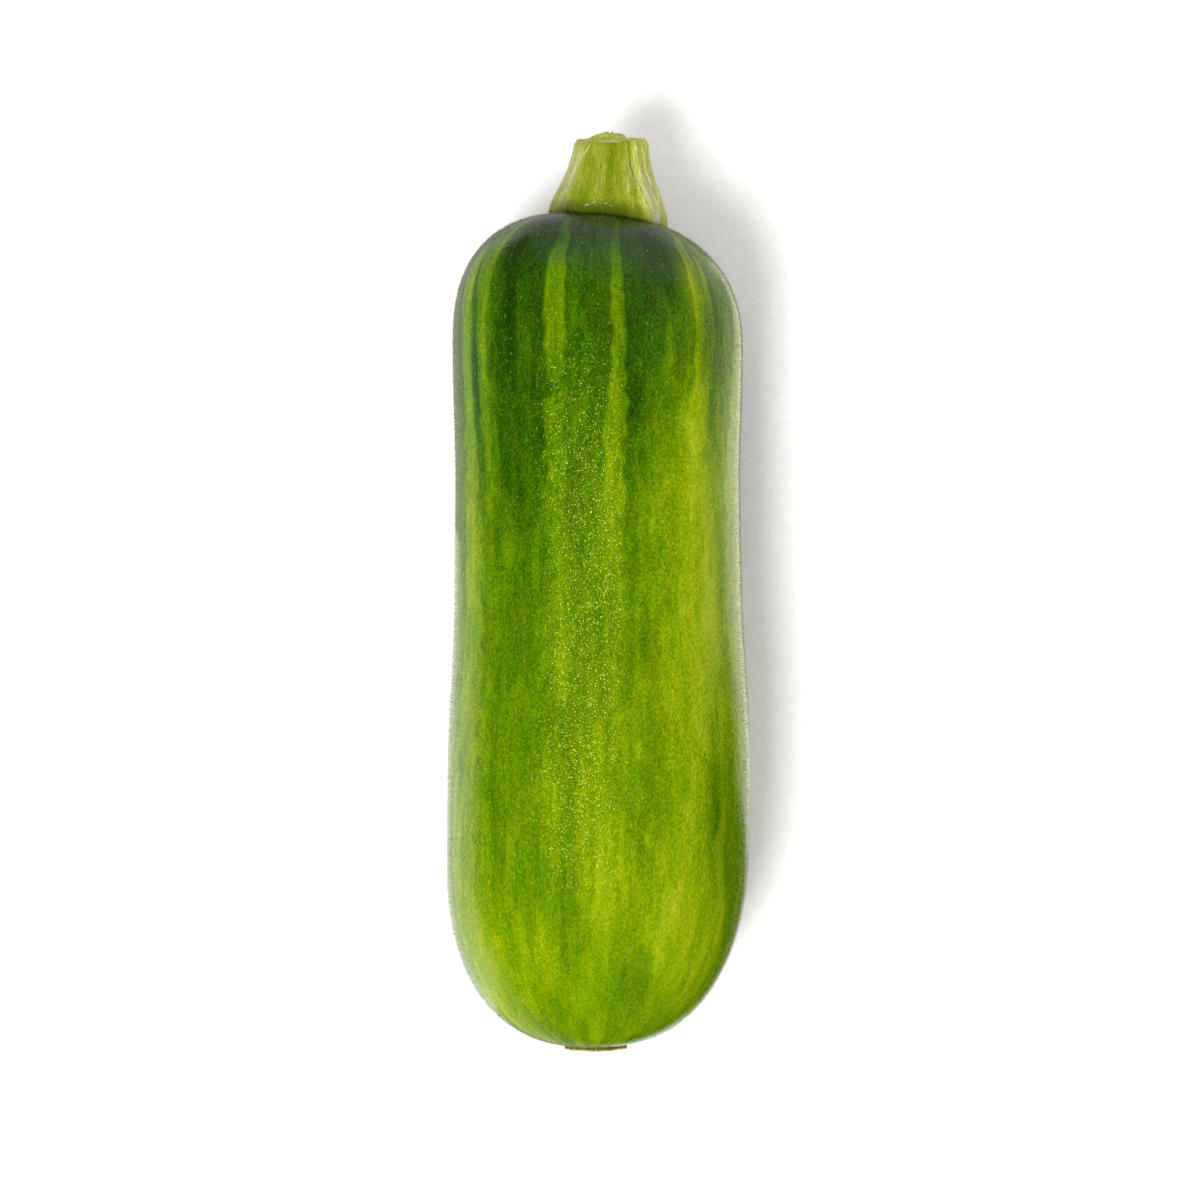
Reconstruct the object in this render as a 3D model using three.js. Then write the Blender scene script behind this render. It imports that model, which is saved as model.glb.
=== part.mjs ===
// A courgette as picked: the fruit, the cut stub of the stem that it hung from, and the dry scar that its flower left.
// Millimetres, +Z up. The fruit lies along Y with its stem towards +Y, on a small flat of its underside at Z = 0.
// The origin is on that surface, under the middle of the courgette's length and width.
import * as THREE from "three";
import { mergeVertices } from "three/addons/utils/BufferGeometryUtils.js";

// ---- Fruit ----
const BELLY_RADIUS = 30; // half the width where the fruit is fullest, towards the flower
const WAIST_RADIUS = 28.7; // half the width in the slimmer middle
const SHOULDER_RADIUS = 29.3; // half the width where the stem end starts to round off
const BELLY_ENDS_Y = -38; // the belly narrows from here
const WAIST_FROM_Y = 0; // to the waist here
const WAIST_TO_Y = 20; // which widens again from here to the shoulder
const FLOWER_CAP_Y = -50; // the flower end rounds off from here
const FLOWER_POLE_Y = -91; // to its tip here
const FLOWER_FULLNESS = 2.45; // 2 would round it as an ellipse, and more is squarer
const SHOULDER_CAP_Y = 48; // the stem end rounds off from here
const SHOULDER_POLE_Y = 75.1; // to its tip, under the stem
const SHOULDER_FULLNESS = 2.5;
const HEIGHT_RATIO = 0.965; // the fruit is a little lower than it is wide
const FLAT_DEPTH = 0.35; // how much of the round underside the surface presses flat
const CONTACT_Y = 5; // the middle of the stretch that lies on the surface
const BOW_LENGTH = 80; // this far from there, the ends have bowed away by
const BOW_SIDEWAYS = 0.75; // this much towards -X
const BOW_UPWARDS = 0.9; // and this much off the surface
const SHOULDER_TILT = Math.tan(THREE.MathUtils.degToRad(3.8)); // the shoulder slopes down towards +X
const TILT_FROM_Y = 30;

// ---- Ribs: five run on from the ridges of the stem, with a fainter one between each two ----
const RIB_COUNT = 5;
const RIB_ANGLE = THREE.MathUtils.degToRad(39); // of the first rib, from the top of the fruit towards +X
const RIB_HEIGHT_SHOULDER = 0.55;
const RIB_HEIGHT_BELLY = 0.14;
const MINOR_RIB_SHARE = 0.4;
const UNEVENNESS = 0.28; // slow swells and hollows, as no fruit is a true solid of revolution

// ---- Stem ----
const STEM_GAP = 0.3; // clearance between the stem's foot and the shoulder
const STEM_X = 2.0; // the foot's middle
const STEM_LEAN_X = 0.5; // how far the cut end stands from the foot's middle
const STEM_LEAN_Z = 1.0;
const FOOT_RADIUS = 12.3; // over the ridges
const CUT_RADIUS = 7.35;
const FOOT_CONTACT_SHARE = 0.92; // the lip turns in to this share of the foot's radius
const LIP_HEIGHT = 1.5;
const FLARE_LENGTH = 7.95; // the foot narrows over about this height
const STEM_LENGTH = 15.1; // from the shoulder to the cut, at the stem's middle height
const CUT_TILT = Math.tan(THREE.MathUtils.degToRad(10.5)); // the knife left the underside longer
const CUT_EDGE_ROUND = 0.55;
const GROOVE_DEPTH = 0.17; // of the grooves between the ridges, as a share of the radius
const GROOVE_DEPTH_CUT = 0.1;
const RIDGE_SHARPNESS = 1.4;
const RIDGE_TWIST = THREE.MathUtils.degToRad(9); // from the foot to the cut
const RIDGE_STRENGTHS = [1, 0.86, 1.08, 0.92, 1.04]; // no two ridges alike
const FLUTE_HEIGHT = 0.2; // fine fluting between the ridges
const CORE_RADIUS = 3.9; // the torn pith in the middle of the cut
const CORE_HEIGHT = 1.7;
const CUT_HOLLOW = 0.5; // the flesh round the pith shrinks back this much

// ---- Flower scar ----
const SCAR_GAP = 0.3;
const SCAR_RADIUS = 6.1;
const SCAR_X = 0.2; // the scar's middle, beside the pole of the fruit
const SCAR_THICKNESS = 0.85; // of its rim, past the tip of the fruit
const SCAR_RAGGEDNESS = 0.35;
const SCAR_DISH = 0.25; // the disc sinks inside the rim
const SCAR_STYLE_RADIUS = 1.5; // the stump of the flower's style
const SCAR_STYLE_HEIGHT = 0.3;

// ---- Fineness of the solids ----
const FRUIT_SEGMENTS = 60;
const CAP_ROWS = 14;
const BODY_ROWS = 20;
const STEM_SEGMENTS = 75;
const FOOT_ROWS = 5;
const STEM_ROWS = 15;
const CUT_ROWS = 8;
const SCAR_SEGMENTS = 45;
const SCAR_ROWS = 8;

const { clamp, lerp, smoothstep } = THREE.MathUtils;

// A closed solid of rings: a lathe of as many rows, whose points place(angle, row) then puts where they belong.
// The angle runs from +Z towards +X. The first and last rows shrink to a point.
function ringSolid(rowCount, segments, place) {
  const profile = [];
  for (let row = 0; row < rowCount; row++) {
    const isTip = row === 0 || row === rowCount - 1;
    profile.push(new THREE.Vector2(isTip ? 0 : 1, row));
  }
  const lathe = new THREE.LatheGeometry(profile, segments);
  const position = lathe.getAttribute("position");
  const uv = lathe.getAttribute("uv");
  for (let i = 0; i < position.count; i++) {
    const row = Math.round(uv.getY(i) * (rowCount - 1));
    const isTip = row === 0 || row === rowCount - 1;
    const turn = isTip ? 0 : Math.round(uv.getX(i) * segments) % segments;
    const point = place((2 * Math.PI * turn) / segments, row);
    position.setXYZ(i, point.x, point.y, point.z);
  }
  lathe.deleteAttribute("normal");
  lathe.deleteAttribute("uv");
  const geometry = mergeVertices(lathe, 1e-4);
  geometry.computeVertexNormals();
  return geometry;
}

// ---- The fruit's surface, which the stem and the scar also follow ----

function bodyRadius(y) {
  const waist = lerp(BELLY_RADIUS, WAIST_RADIUS, smoothstep(y, BELLY_ENDS_Y, WAIST_FROM_Y));
  return lerp(waist, SHOULDER_RADIUS, smoothstep(y, WAIST_TO_Y, SHOULDER_CAP_Y));
}

function bow(y) {
  return ((y - CONTACT_Y) / BOW_LENGTH) ** 2;
}

function axisX(y) {
  return -BOW_SIDEWAYS * bow(y);
}

function axisZ(y) {
  return HEIGHT_RATIO * bodyRadius(y) - FLAT_DEPTH + BOW_UPWARDS * bow(y);
}

// How far the ribs and the slow unevenness lift the surface, as a share of its radius.
function relief(angle, y) {
  const towardsStem = smoothstep(y, FLOWER_POLE_Y, SHOULDER_POLE_Y);
  const ribHeight = lerp(RIB_HEIGHT_BELLY, RIB_HEIGHT_SHOULDER, towardsStem ** 3);
  const turn = RIB_COUNT * (angle - RIB_ANGLE);
  const ribs = ribHeight * (Math.cos(turn) + MINOR_RIB_SHARE * Math.cos(2 * turn));
  const slow = Math.sin(2 * angle + y / 23) + 0.7 * Math.sin(3 * angle - y / 17 + 1);
  return (ribs + UNEVENNESS * slow) / BELLY_RADIUS;
}

function skinPoint(angle, y, radius) {
  const lifted = radius * (1 + relief(angle, y));
  const x = axisX(y) + lifted * Math.sin(angle);
  const z = axisZ(y) + lifted * HEIGHT_RATIO * Math.cos(angle);
  const tilt = SHOULDER_TILT * smoothstep(y, TILT_FROM_Y, SHOULDER_POLE_Y);
  return new THREE.Vector3(x, y - tilt * x, Math.max(z, 0));
}

// The superellipse that rounds an end: reach along Y and share of the full radius, for a parameter from 0 to 1.
function capPoint(parameter, fullness) {
  const angle = (parameter * Math.PI) / 2;
  const power = 2 / fullness;
  return { reach: Math.sin(angle) ** power, share: Math.cos(angle) ** power };
}

function fruitRows() {
  const rows = [];
  for (let i = CAP_ROWS; i > 0; i--) {
    const { reach, share } = capPoint(i / CAP_ROWS, FLOWER_FULLNESS);
    const y = lerp(FLOWER_CAP_Y, FLOWER_POLE_Y, reach);
    rows.push({ y, radius: i === CAP_ROWS ? 0 : share * bodyRadius(y) });
  }
  for (let i = 0; i <= BODY_ROWS; i++) {
    const y = lerp(FLOWER_CAP_Y, SHOULDER_CAP_Y, i / BODY_ROWS);
    rows.push({ y, radius: bodyRadius(y) });
  }
  for (let i = 1; i <= CAP_ROWS; i++) {
    const { reach, share } = capPoint(i / CAP_ROWS, SHOULDER_FULLNESS);
    const y = lerp(SHOULDER_CAP_Y, SHOULDER_POLE_Y, reach);
    rows.push({ y, radius: i === CAP_ROWS ? 0 : share * bodyRadius(y) });
  }
  return rows;
}

// The Y of an end of the fruit, straight in line with a point (x, z): end is 1 at the shoulder and -1 at the flower.
function endY(x, z, end) {
  const poleY = end > 0 ? SHOULDER_POLE_Y : FLOWER_POLE_Y;
  const capY = end > 0 ? SHOULDER_CAP_Y : FLOWER_CAP_Y;
  const fullness = end > 0 ? SHOULDER_FULLNESS : FLOWER_FULLNESS;
  const across = x - axisX(poleY);
  const up = (z - axisZ(poleY)) / HEIGHT_RATIO;
  const angle = Math.atan2(across, up);
  const plain = Math.hypot(across, up) / (1 + relief(angle, poleY));
  const share = clamp(plain / bodyRadius(poleY), 0, 1);
  const y = lerp(capY, poleY, (1 - share ** fullness) ** (1 / fullness));
  const tilt = SHOULDER_TILT * smoothstep(y, TILT_FROM_Y, SHOULDER_POLE_Y);
  return y - tilt * x;
}

// ---- The stem's surface ----

// 0 in the middle of a groove and 1 on a ridge, at a share of the way from foot to cut.
function ridge(angle, alongShare) {
  const turn = RIB_COUNT * (angle - RIB_ANGLE + RIDGE_TWIST * alongShare);
  return (0.5 + 0.5 * Math.cos(turn)) ** RIDGE_SHARPNESS;
}

// The share of the common groove depth beside an angle, blending from one ridge to the next.
function ridgeStrength(angle) {
  const place = ((angle - RIB_ANGLE) / (2 * Math.PI) + 1) * RIB_COUNT;
  const ridgeBefore = Math.floor(place);
  const strength = RIDGE_STRENGTHS[ridgeBefore % RIB_COUNT];
  const nextStrength = RIDGE_STRENGTHS[(ridgeBefore + 1) % RIB_COUNT];
  return lerp(strength, nextStrength, smoothstep(place - ridgeBefore, 0, 1));
}

function stemRadius(angle, height) {
  const alongShare = clamp(height / STEM_LENGTH, 0, 1);
  const flared = CUT_RADIUS + (FOOT_RADIUS - CUT_RADIUS) * Math.exp(-((height / FLARE_LENGTH) ** 2));
  const lip = Math.sqrt(1 - clamp(1 - height / LIP_HEIGHT, 0, 1) ** 2);
  const groove = lerp(GROOVE_DEPTH, GROOVE_DEPTH_CUT, alongShare) * (1 - ridge(angle, alongShare));
  const flutes = FLUTE_HEIGHT * (Math.cos(15 * angle + 2 * alongShare) + 0.5 * Math.cos(25 * angle + 1));
  const standing = flared * (1 - groove * ridgeStrength(angle)) + flutes;
  return standing * lerp(FOOT_CONTACT_SHARE, 1, lip);
}

const shoulderMiddleZ = axisZ(SHOULDER_POLE_Y);

// The point at a radius and a height over the shoulder, with the stem's lean and the slant of the cut.
function stemPoint(angle, radius, height) {
  const x = STEM_X + radius * Math.sin(angle);
  const z = shoulderMiddleZ + radius * Math.cos(angle);
  const alongShare = clamp(height / STEM_LENGTH, 0, 1.3);
  const footY = endY(x, z, 1) + STEM_GAP;
  const cutY = endY(STEM_X, shoulderMiddleZ, 1) + STEM_LENGTH - CUT_TILT * (z - shoulderMiddleZ);
  const y = height <= 0 ? footY : lerp(footY, cutY, alongShare);
  return new THREE.Vector3(x + STEM_LEAN_X * alongShare, y, z + STEM_LEAN_Z * alongShare);
}

// How far the cut surface stands out at a share of its radius: a shrunken ring of flesh round a torn core of pith.
function cutRelief(angle, share) {
  const radius = share * CUT_RADIUS;
  const torn = 1 + 0.22 * Math.sin(3 * angle + 0.6) + 0.14 * Math.sin(7 * angle);
  const core = CORE_HEIGHT * smoothstep(CORE_RADIUS * torn - radius, 0, CORE_RADIUS * 0.7);
  const crumbs = 0.18 * Math.sin(5 * angle + 9 * share) * smoothstep(share, 0.05, 0.3);
  const hollow = CUT_HOLLOW * Math.sin(Math.PI * clamp((1 - share) / 0.55, 0, 1));
  return core + (crumbs - hollow) * (1 - share);
}

function makeStemGeometry() {
  const rowCount = 1 + FOOT_ROWS + STEM_ROWS + CUT_ROWS;
  return ringSolid(rowCount, STEM_SEGMENTS, (angle, row) => {
    if (row <= FOOT_ROWS) {
      return stemPoint(angle, (row / FOOT_ROWS) * stemRadius(angle, 0), 0);
    }
    if (row <= FOOT_ROWS + STEM_ROWS) {
      const share = (row - FOOT_ROWS) / STEM_ROWS;
      const height = STEM_LENGTH * share ** 1.2;
      const edge = row === FOOT_ROWS + STEM_ROWS ? CUT_EDGE_ROUND : 0;
      return stemPoint(angle, stemRadius(angle, height) - edge, height);
    }
    const share = 1 - (row - FOOT_ROWS - STEM_ROWS) / CUT_ROWS;
    const rim = stemRadius(angle, STEM_LENGTH) - CUT_EDGE_ROUND;
    const height = STEM_LENGTH + cutRelief(angle, share);
    return stemPoint(angle, share * rim, height);
  });
}

// ---- The scar's surface ----

function scarPoint(angle, radius, standing) {
  const poleZ = axisZ(FLOWER_POLE_Y);
  const x = axisX(FLOWER_POLE_Y) + SCAR_X + radius * Math.sin(angle);
  const z = poleZ + radius * Math.cos(angle);
  const onSkin = endY(x, z, -1) - SCAR_GAP;
  const y = standing <= 0 ? onSkin : Math.min(FLOWER_POLE_Y - standing, onSkin - 0.1);
  return new THREE.Vector3(x, y, z);
}

function scarRadius(angle) {
  const wave = Math.sin(5 * angle + 0.4) + 0.6 * Math.sin(9 * angle + 2) + 0.4 * Math.sin(14 * angle);
  return SCAR_RADIUS + SCAR_RAGGEDNESS * wave;
}

function makeScarGeometry() {
  const skinRows = 3;
  const rowCount = 1 + skinRows + SCAR_ROWS;
  return ringSolid(rowCount, SCAR_SEGMENTS, (angle, row) => {
    if (row > SCAR_ROWS) {
      const share = (rowCount - 1 - row) / skinRows;
      return scarPoint(angle, 0.97 * share * scarRadius(angle), 0);
    }
    const share = row / SCAR_ROWS;
    const radius = share * scarRadius(angle);
    const dish = SCAR_DISH * Math.sin(Math.PI * share) ** 2;
    const style = SCAR_STYLE_HEIGHT * smoothstep(SCAR_STYLE_RADIUS - radius, 0, SCAR_STYLE_RADIUS);
    const crinkle = 0.12 * share * Math.sin(11 * angle + 1);
    return scarPoint(angle, radius, SCAR_THICKNESS - dish + style * (1 - share) + crinkle);
  });
}

// ---- Materials ----

const skinMaterial = new THREE.MeshStandardMaterial({ color: 0x5f9014, roughness: 0.38, metalness: 0 });
const stemMaterial = new THREE.MeshStandardMaterial({ color: 0xa8b338, roughness: 0.6, metalness: 0 });
const scarMaterial = new THREE.MeshStandardMaterial({ color: 0x8a7448, roughness: 0.85, metalness: 0 });

// ---- Assembly ----

function piece(name, geometry, material) {
  const mesh = new THREE.Mesh(geometry, material);
  mesh.name = name;
  return mesh;
}

function makeFruitGeometry() {
  const rows = fruitRows();
  return ringSolid(rows.length, FRUIT_SEGMENTS, (angle, row) => {
    return skinPoint(angle, rows[row].y, rows[row].radius);
  });
}

const courgette = new THREE.Group();
courgette.name = "courgette";
courgette.add(piece("fruit", makeFruitGeometry(), skinMaterial));
courgette.add(piece("stem", makeStemGeometry(), stemMaterial));
courgette.add(piece("flower_scar", makeScarGeometry(), scarMaterial));

export default courgette;
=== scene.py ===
# %% [markdown]
# # A courgette, step by step
# This lesson dresses a plain model of a courgette: a striped green fruit, the cut stub of the stem that
# it hung from, and the dry scar that its flower left at the tip. The plain solids are loaded as a fixed
# frame. Each one is then replaced by a finer piece of the same form, because a living surface shows its
# age, its fibres and its hairs only where the mesh and the material have room for them.

# %% Load the frame
import math

import bpy
import numpy as np
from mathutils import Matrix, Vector


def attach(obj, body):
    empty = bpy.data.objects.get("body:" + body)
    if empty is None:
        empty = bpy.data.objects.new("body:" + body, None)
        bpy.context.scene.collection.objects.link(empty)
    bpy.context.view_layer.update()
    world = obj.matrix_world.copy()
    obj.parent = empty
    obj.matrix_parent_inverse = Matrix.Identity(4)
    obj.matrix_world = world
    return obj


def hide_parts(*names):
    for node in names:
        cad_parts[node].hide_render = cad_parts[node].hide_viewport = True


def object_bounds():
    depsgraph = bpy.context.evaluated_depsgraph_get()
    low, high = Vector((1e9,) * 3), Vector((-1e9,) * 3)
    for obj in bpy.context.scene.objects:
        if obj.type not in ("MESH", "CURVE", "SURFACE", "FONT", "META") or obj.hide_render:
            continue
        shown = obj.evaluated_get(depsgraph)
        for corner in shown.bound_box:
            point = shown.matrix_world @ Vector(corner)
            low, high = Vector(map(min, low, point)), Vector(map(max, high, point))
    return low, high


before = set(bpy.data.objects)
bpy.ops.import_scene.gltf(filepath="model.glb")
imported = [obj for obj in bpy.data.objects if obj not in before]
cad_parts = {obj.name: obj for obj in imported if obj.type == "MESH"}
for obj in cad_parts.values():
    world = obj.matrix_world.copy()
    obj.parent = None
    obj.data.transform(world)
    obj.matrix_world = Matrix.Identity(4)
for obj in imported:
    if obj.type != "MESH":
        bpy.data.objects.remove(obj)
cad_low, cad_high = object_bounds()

MM = 0.001
print("plain model, mm:", [round((high - low) / MM, 1) for low, high in zip(cad_low, cad_high)])

# %% [markdown]
# ## Camera
# The camera hangs over the courgette and looks straight down, as in a catalogue of vegetables. A long
# lens from 75 cm keeps the outline almost free of perspective. A camera with no rotation already looks
# down with +Y up in its picture, so only its place and its lens are set.

# %% Camera over the table
CAMERA_PLACE = Vector((0.24, -1.94, 750.0)) * MM
LENS, SENSOR_WIDTH = 108.2, 36.0
camera_data = bpy.data.cameras.new("camera")
camera_data.lens = LENS
camera_data.sensor_width = SENSOR_WIDTH
camera = bpy.data.objects.new("camera", camera_data)
camera.location = CAMERA_PLACE
bpy.context.scene.collection.objects.link(camera)
bpy.context.scene.camera = camera
bpy.context.scene.view_settings.view_transform = "Standard"
print("the camera is", round(CAMERA_PLACE.z * 100, 1), "cm over the floor")

# %% [markdown]
# ## Formulas as nodes
# Both the shape and the colours of a fruit follow rules, and rules become Math nodes. Wiring those by
# hand takes many lines, so a small class does it: a Wire is the output of a node, and adding or
# multiplying Wires adds the nodes. A formula in the script then reads as it does on paper. The same
# class serves Geometry Nodes and materials, since both use the same Math node.

# %% A wire that can be added and multiplied
def feed(value, entry):
    """Links a Wire to an input, or sets the input to a plain value."""
    if isinstance(value, Wire):
        entry.id_data.links.new(value.socket, entry)
    else:
        entry.default_value = value


class Wire:
    """One output of a node. Arithmetic on it adds Math nodes."""

    def __init__(self, socket):
        self.socket = socket

    def math(self, operation, *others):
        node = self.socket.id_data.nodes.new("ShaderNodeMath")
        node.operation = operation
        for value, entry in zip((self, *others), node.inputs):
            feed(value, entry)
        return Wire(node.outputs[0])

    def __add__(self, other):
        return self.math("ADD", other)

    def __sub__(self, other):
        return self.math("SUBTRACT", other)

    def __mul__(self, other):
        return self.math("MULTIPLY", other)

    def __truediv__(self, other):
        return self.math("DIVIDE", other)

    def __pow__(self, other):
        return self.math("POWER", other)

    __radd__ = __add__
    __rmul__ = __mul__

    def __rsub__(self, other):
        return self * -1.0 + other


def fill(node, **inputs):
    """Gives a node its inputs by name, with _ for a space."""
    for name, value in inputs.items():
        feed(value, node.inputs[name.replace("_", " ")])


def add_node(tree, kind, settings=None, **inputs):
    """A new node with its settings and its inputs."""
    node = tree.nodes.new(kind)
    for name, value in (settings or {}).items():
        setattr(node, name, value)
    fill(node, **inputs)
    return node


def add_wire(tree, kind, settings=None, **inputs):
    """The first output of a new node."""
    return Wire(add_node(tree, kind, settings, **inputs).outputs[0])


def smoothstep(value, low, high, to_low=0.0, to_high=1.0):
    """Eases from to_low to to_high as value goes from low to high. Takes a Wire, a number or an array."""
    if not isinstance(value, Wire):
        share = np.clip((value - low) / (high - low), 0.0, 1.0)
        return to_low + (to_high - to_low) * share * share * (3 - 2 * share)
    node = add_node(value.socket.id_data, "ShaderNodeMapRange", {"interpolation_type": "SMOOTHSTEP"})
    for entry, setting in zip(node.inputs[:5], (value, low, high, to_low, to_high)):
        feed(setting, entry)
    return Wire(node.outputs[0])


def scaled(vector, scale):
    """A vector Wire times a number."""
    settings = {"operation": "SCALE"}
    return add_wire(vector.socket.id_data, "ShaderNodeVectorMath", settings, Vector=vector, Scale=scale)


def split(vector):
    """The x, y and z of a vector Wire."""
    node = add_node(vector.socket.id_data, "ShaderNodeSeparateXYZ", Vector=vector)
    return [Wire(output) for output in node.outputs]


def combine(tree, x, y, z):
    """A vector Wire from its x, y and z."""
    return add_wire(tree, "ShaderNodeCombineXYZ", X=x, Y=y, Z=z)


def blend(a, b, share):
    """From a to b by share."""
    return a + (b - a) * share


def sine(value):
    """The sine of a Wire or of a number, in radians."""
    return value.math("SINE") if isinstance(value, Wire) else np.sin(value)


def cosine(value):
    """The cosine of a Wire or of a number, in radians."""
    return value.math("COSINE") if isinstance(value, Wire) else np.cos(value)


def between(value, low, high):
    """Keeps a Wire between two limits."""
    return value.math("MAXIMUM", low).math("MINIMUM", high)


print("a third of the way along, an eased value is at", round(float(smoothstep(1 / 3, 0, 1)), 2))

# %% [markdown]
# ## The fruit's shape
# A courgette is a tube that swells towards the flower, rounds off at both ends, bows a little and
# carries faint ribs that run on from the ridges of its stem. That is a rule, so Geometry Nodes make the
# shape: a flat grid is wrapped round into the fruit, with one side of the grid as the way round and the
# other as the way along. The seam and the two ends close when points in the same place are merged. A
# grid keeps rows and columns, which makes it easy to store two things on each point: where it lies
# round the fruit, and how far along.

# %% Sizes of the fruit, in millimetres
FRUIT_SIZES = {
    "Belly radius": 29.96,
    "Waist radius": 28.68,
    "Shoulder radius": 29.27,
    "Rib height at the shoulder": 0.55,
    "Rib height at the belly": 0.14,
    "Unevenness": 0.28,
}
BELLY_ENDS_Y, WAIST_FROM_Y, WAIST_TO_Y = -38.0, 0.0, 20.0
FLOWER_CAP_Y, FLOWER_POLE_Y, FLOWER_FULLNESS = -50.0, -91.0, 2.45
SHOULDER_CAP_Y, SHOULDER_POLE_Y, SHOULDER_FULLNESS = 48.0, 75.1, 2.5
HEIGHT_RATIO, FLAT_DEPTH = 0.965, 0.35
CONTACT_Y, BOW_LENGTH, BOW_SIDEWAYS, BOW_UPWARDS = 5.0, 80.0, 0.75, 0.9
SHOULDER_TILT, TILT_FROM_Y = math.tan(math.radians(3.8)), 30.0
RIB_COUNT, RIB_ANGLE, MINOR_RIB_SHARE, RIB_RISE_POWER = 5, math.radians(39.0), 0.4, 3.0
WAVE_LENGTH, SECOND_WAVE_LENGTH, SECOND_WAVE_SHARE = 23.0, 17.0, 0.7
FRUIT_SEGMENTS, FRUIT_ROWS, MERGE_DISTANCE = 320, 256, 1e-6
FLOWER_ARC, SHOULDER_ARC = 57.0, 46.0  # the way over each rounded end, from the tube to its tip
print("the fruit's grid has", FRUIT_SEGMENTS * (FRUIT_ROWS - 1), "faces")

# %% The fruit as a tree of nodes
def float_inputs(tree, sizes):
    """Adds a named input for each size, and returns their Wires from the group's input node."""
    for name, value in sizes.items():
        tree.interface.new_socket(name, in_out="INPUT", socket_type="NodeSocketFloat").default_value = value
    entry = tree.nodes.new("NodeGroupInput")
    return {name: Wire(entry.outputs[name]) for name in sizes}


def store(tree, mesh, name, value, kind="FLOAT"):
    """Keeps a value on every point of the mesh, under a name that a material can read."""
    return add_wire(tree, "GeometryNodeStoreNamedAttribute", {"data_type": kind, "domain": "POINT"},
                    Geometry=mesh, Name=name, Value=value)


def store_around(tree, mesh, angle, along):
    """Keeps the way round, as a sine and a cosine, and the way along on every point of the mesh."""
    return store(tree, mesh, "around", combine(tree, sine(angle), cosine(angle), along), "FLOAT_VECTOR")


def finish_tree(tree, mesh, material):
    """Ends a tree: instances are made real, and the material is set."""
    tree.interface.new_socket("Mesh", in_out="OUTPUT", socket_type="NodeSocketGeometry")
    real = add_wire(tree, "GeometryNodeRealizeInstances", Geometry=mesh)
    dressed = add_wire(tree, "GeometryNodeSetMaterial", Geometry=real, Material=material)
    feed(dressed, tree.nodes.new("NodeGroupOutput").inputs[0])


def axis_x(y):
    """The sideways place of the fruit's middle line."""
    away = (y - CONTACT_Y) * (1.0 / BOW_LENGTH)
    return away * away * -BOW_SIDEWAYS


def axis_z(y, size):
    """The height of the fruit's middle line."""
    away = (y - CONTACT_Y) * (1.0 / BOW_LENGTH)
    return body_radius(y, size) * HEIGHT_RATIO - FLAT_DEPTH + away * away * BOW_UPWARDS


def body_radius(y, size):
    """The fruit's radius along its length."""
    waist = blend(size["Belly radius"], size["Waist radius"], smoothstep(y, BELLY_ENDS_Y, WAIST_FROM_Y))
    return blend(waist, size["Shoulder radius"], smoothstep(y, WAIST_TO_Y, SHOULDER_CAP_Y))


def relief(angle, y, size):
    """How far ribs and slow unevenness lift the skin, as a share of the radius."""
    rise = smoothstep(y, FLOWER_POLE_Y, SHOULDER_POLE_Y) ** RIB_RISE_POWER
    rib_height = blend(size["Rib height at the belly"], size["Rib height at the shoulder"], rise)
    turn = (angle - RIB_ANGLE) * float(RIB_COUNT)
    ribs = rib_height * (cosine(turn) + cosine(turn * 2.0) * MINOR_RIB_SHARE)
    slow = sine(angle * 2.0 + y * (1 / WAVE_LENGTH))
    slow = slow + sine(angle * 3.0 - y * (1 / SECOND_WAVE_LENGTH) + 1.0) * SECOND_WAVE_SHARE
    return (ribs + size["Unevenness"] * slow) / size["Belly radius"]


def start_wrap(tree, segments, rows):
    """A grid to wrap round a piece: its mesh, the angle round and the share of the way along."""
    grid = add_wire(tree, "GeometryNodeMeshGrid", Size_X=1.0, Size_Y=1.0, Vertices_X=segments + 1,
                    Vertices_Y=rows)
    across, up, _ = split(add_wire(tree, "GeometryNodeInputPosition"))
    return grid, across * (2 * math.pi), up + 0.5


def close_wrap(tree, mesh, place, material):
    """Moves the grid's points into place, merges the seam and the ends, and ends the tree."""
    shaped = add_wire(tree, "GeometryNodeSetPosition", Geometry=mesh, Position=place)
    merged = add_wire(tree, "GeometryNodeMergeByDistance", Geometry=shaped, Distance=MERGE_DISTANCE)
    finish_tree(tree, merged, material)


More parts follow.
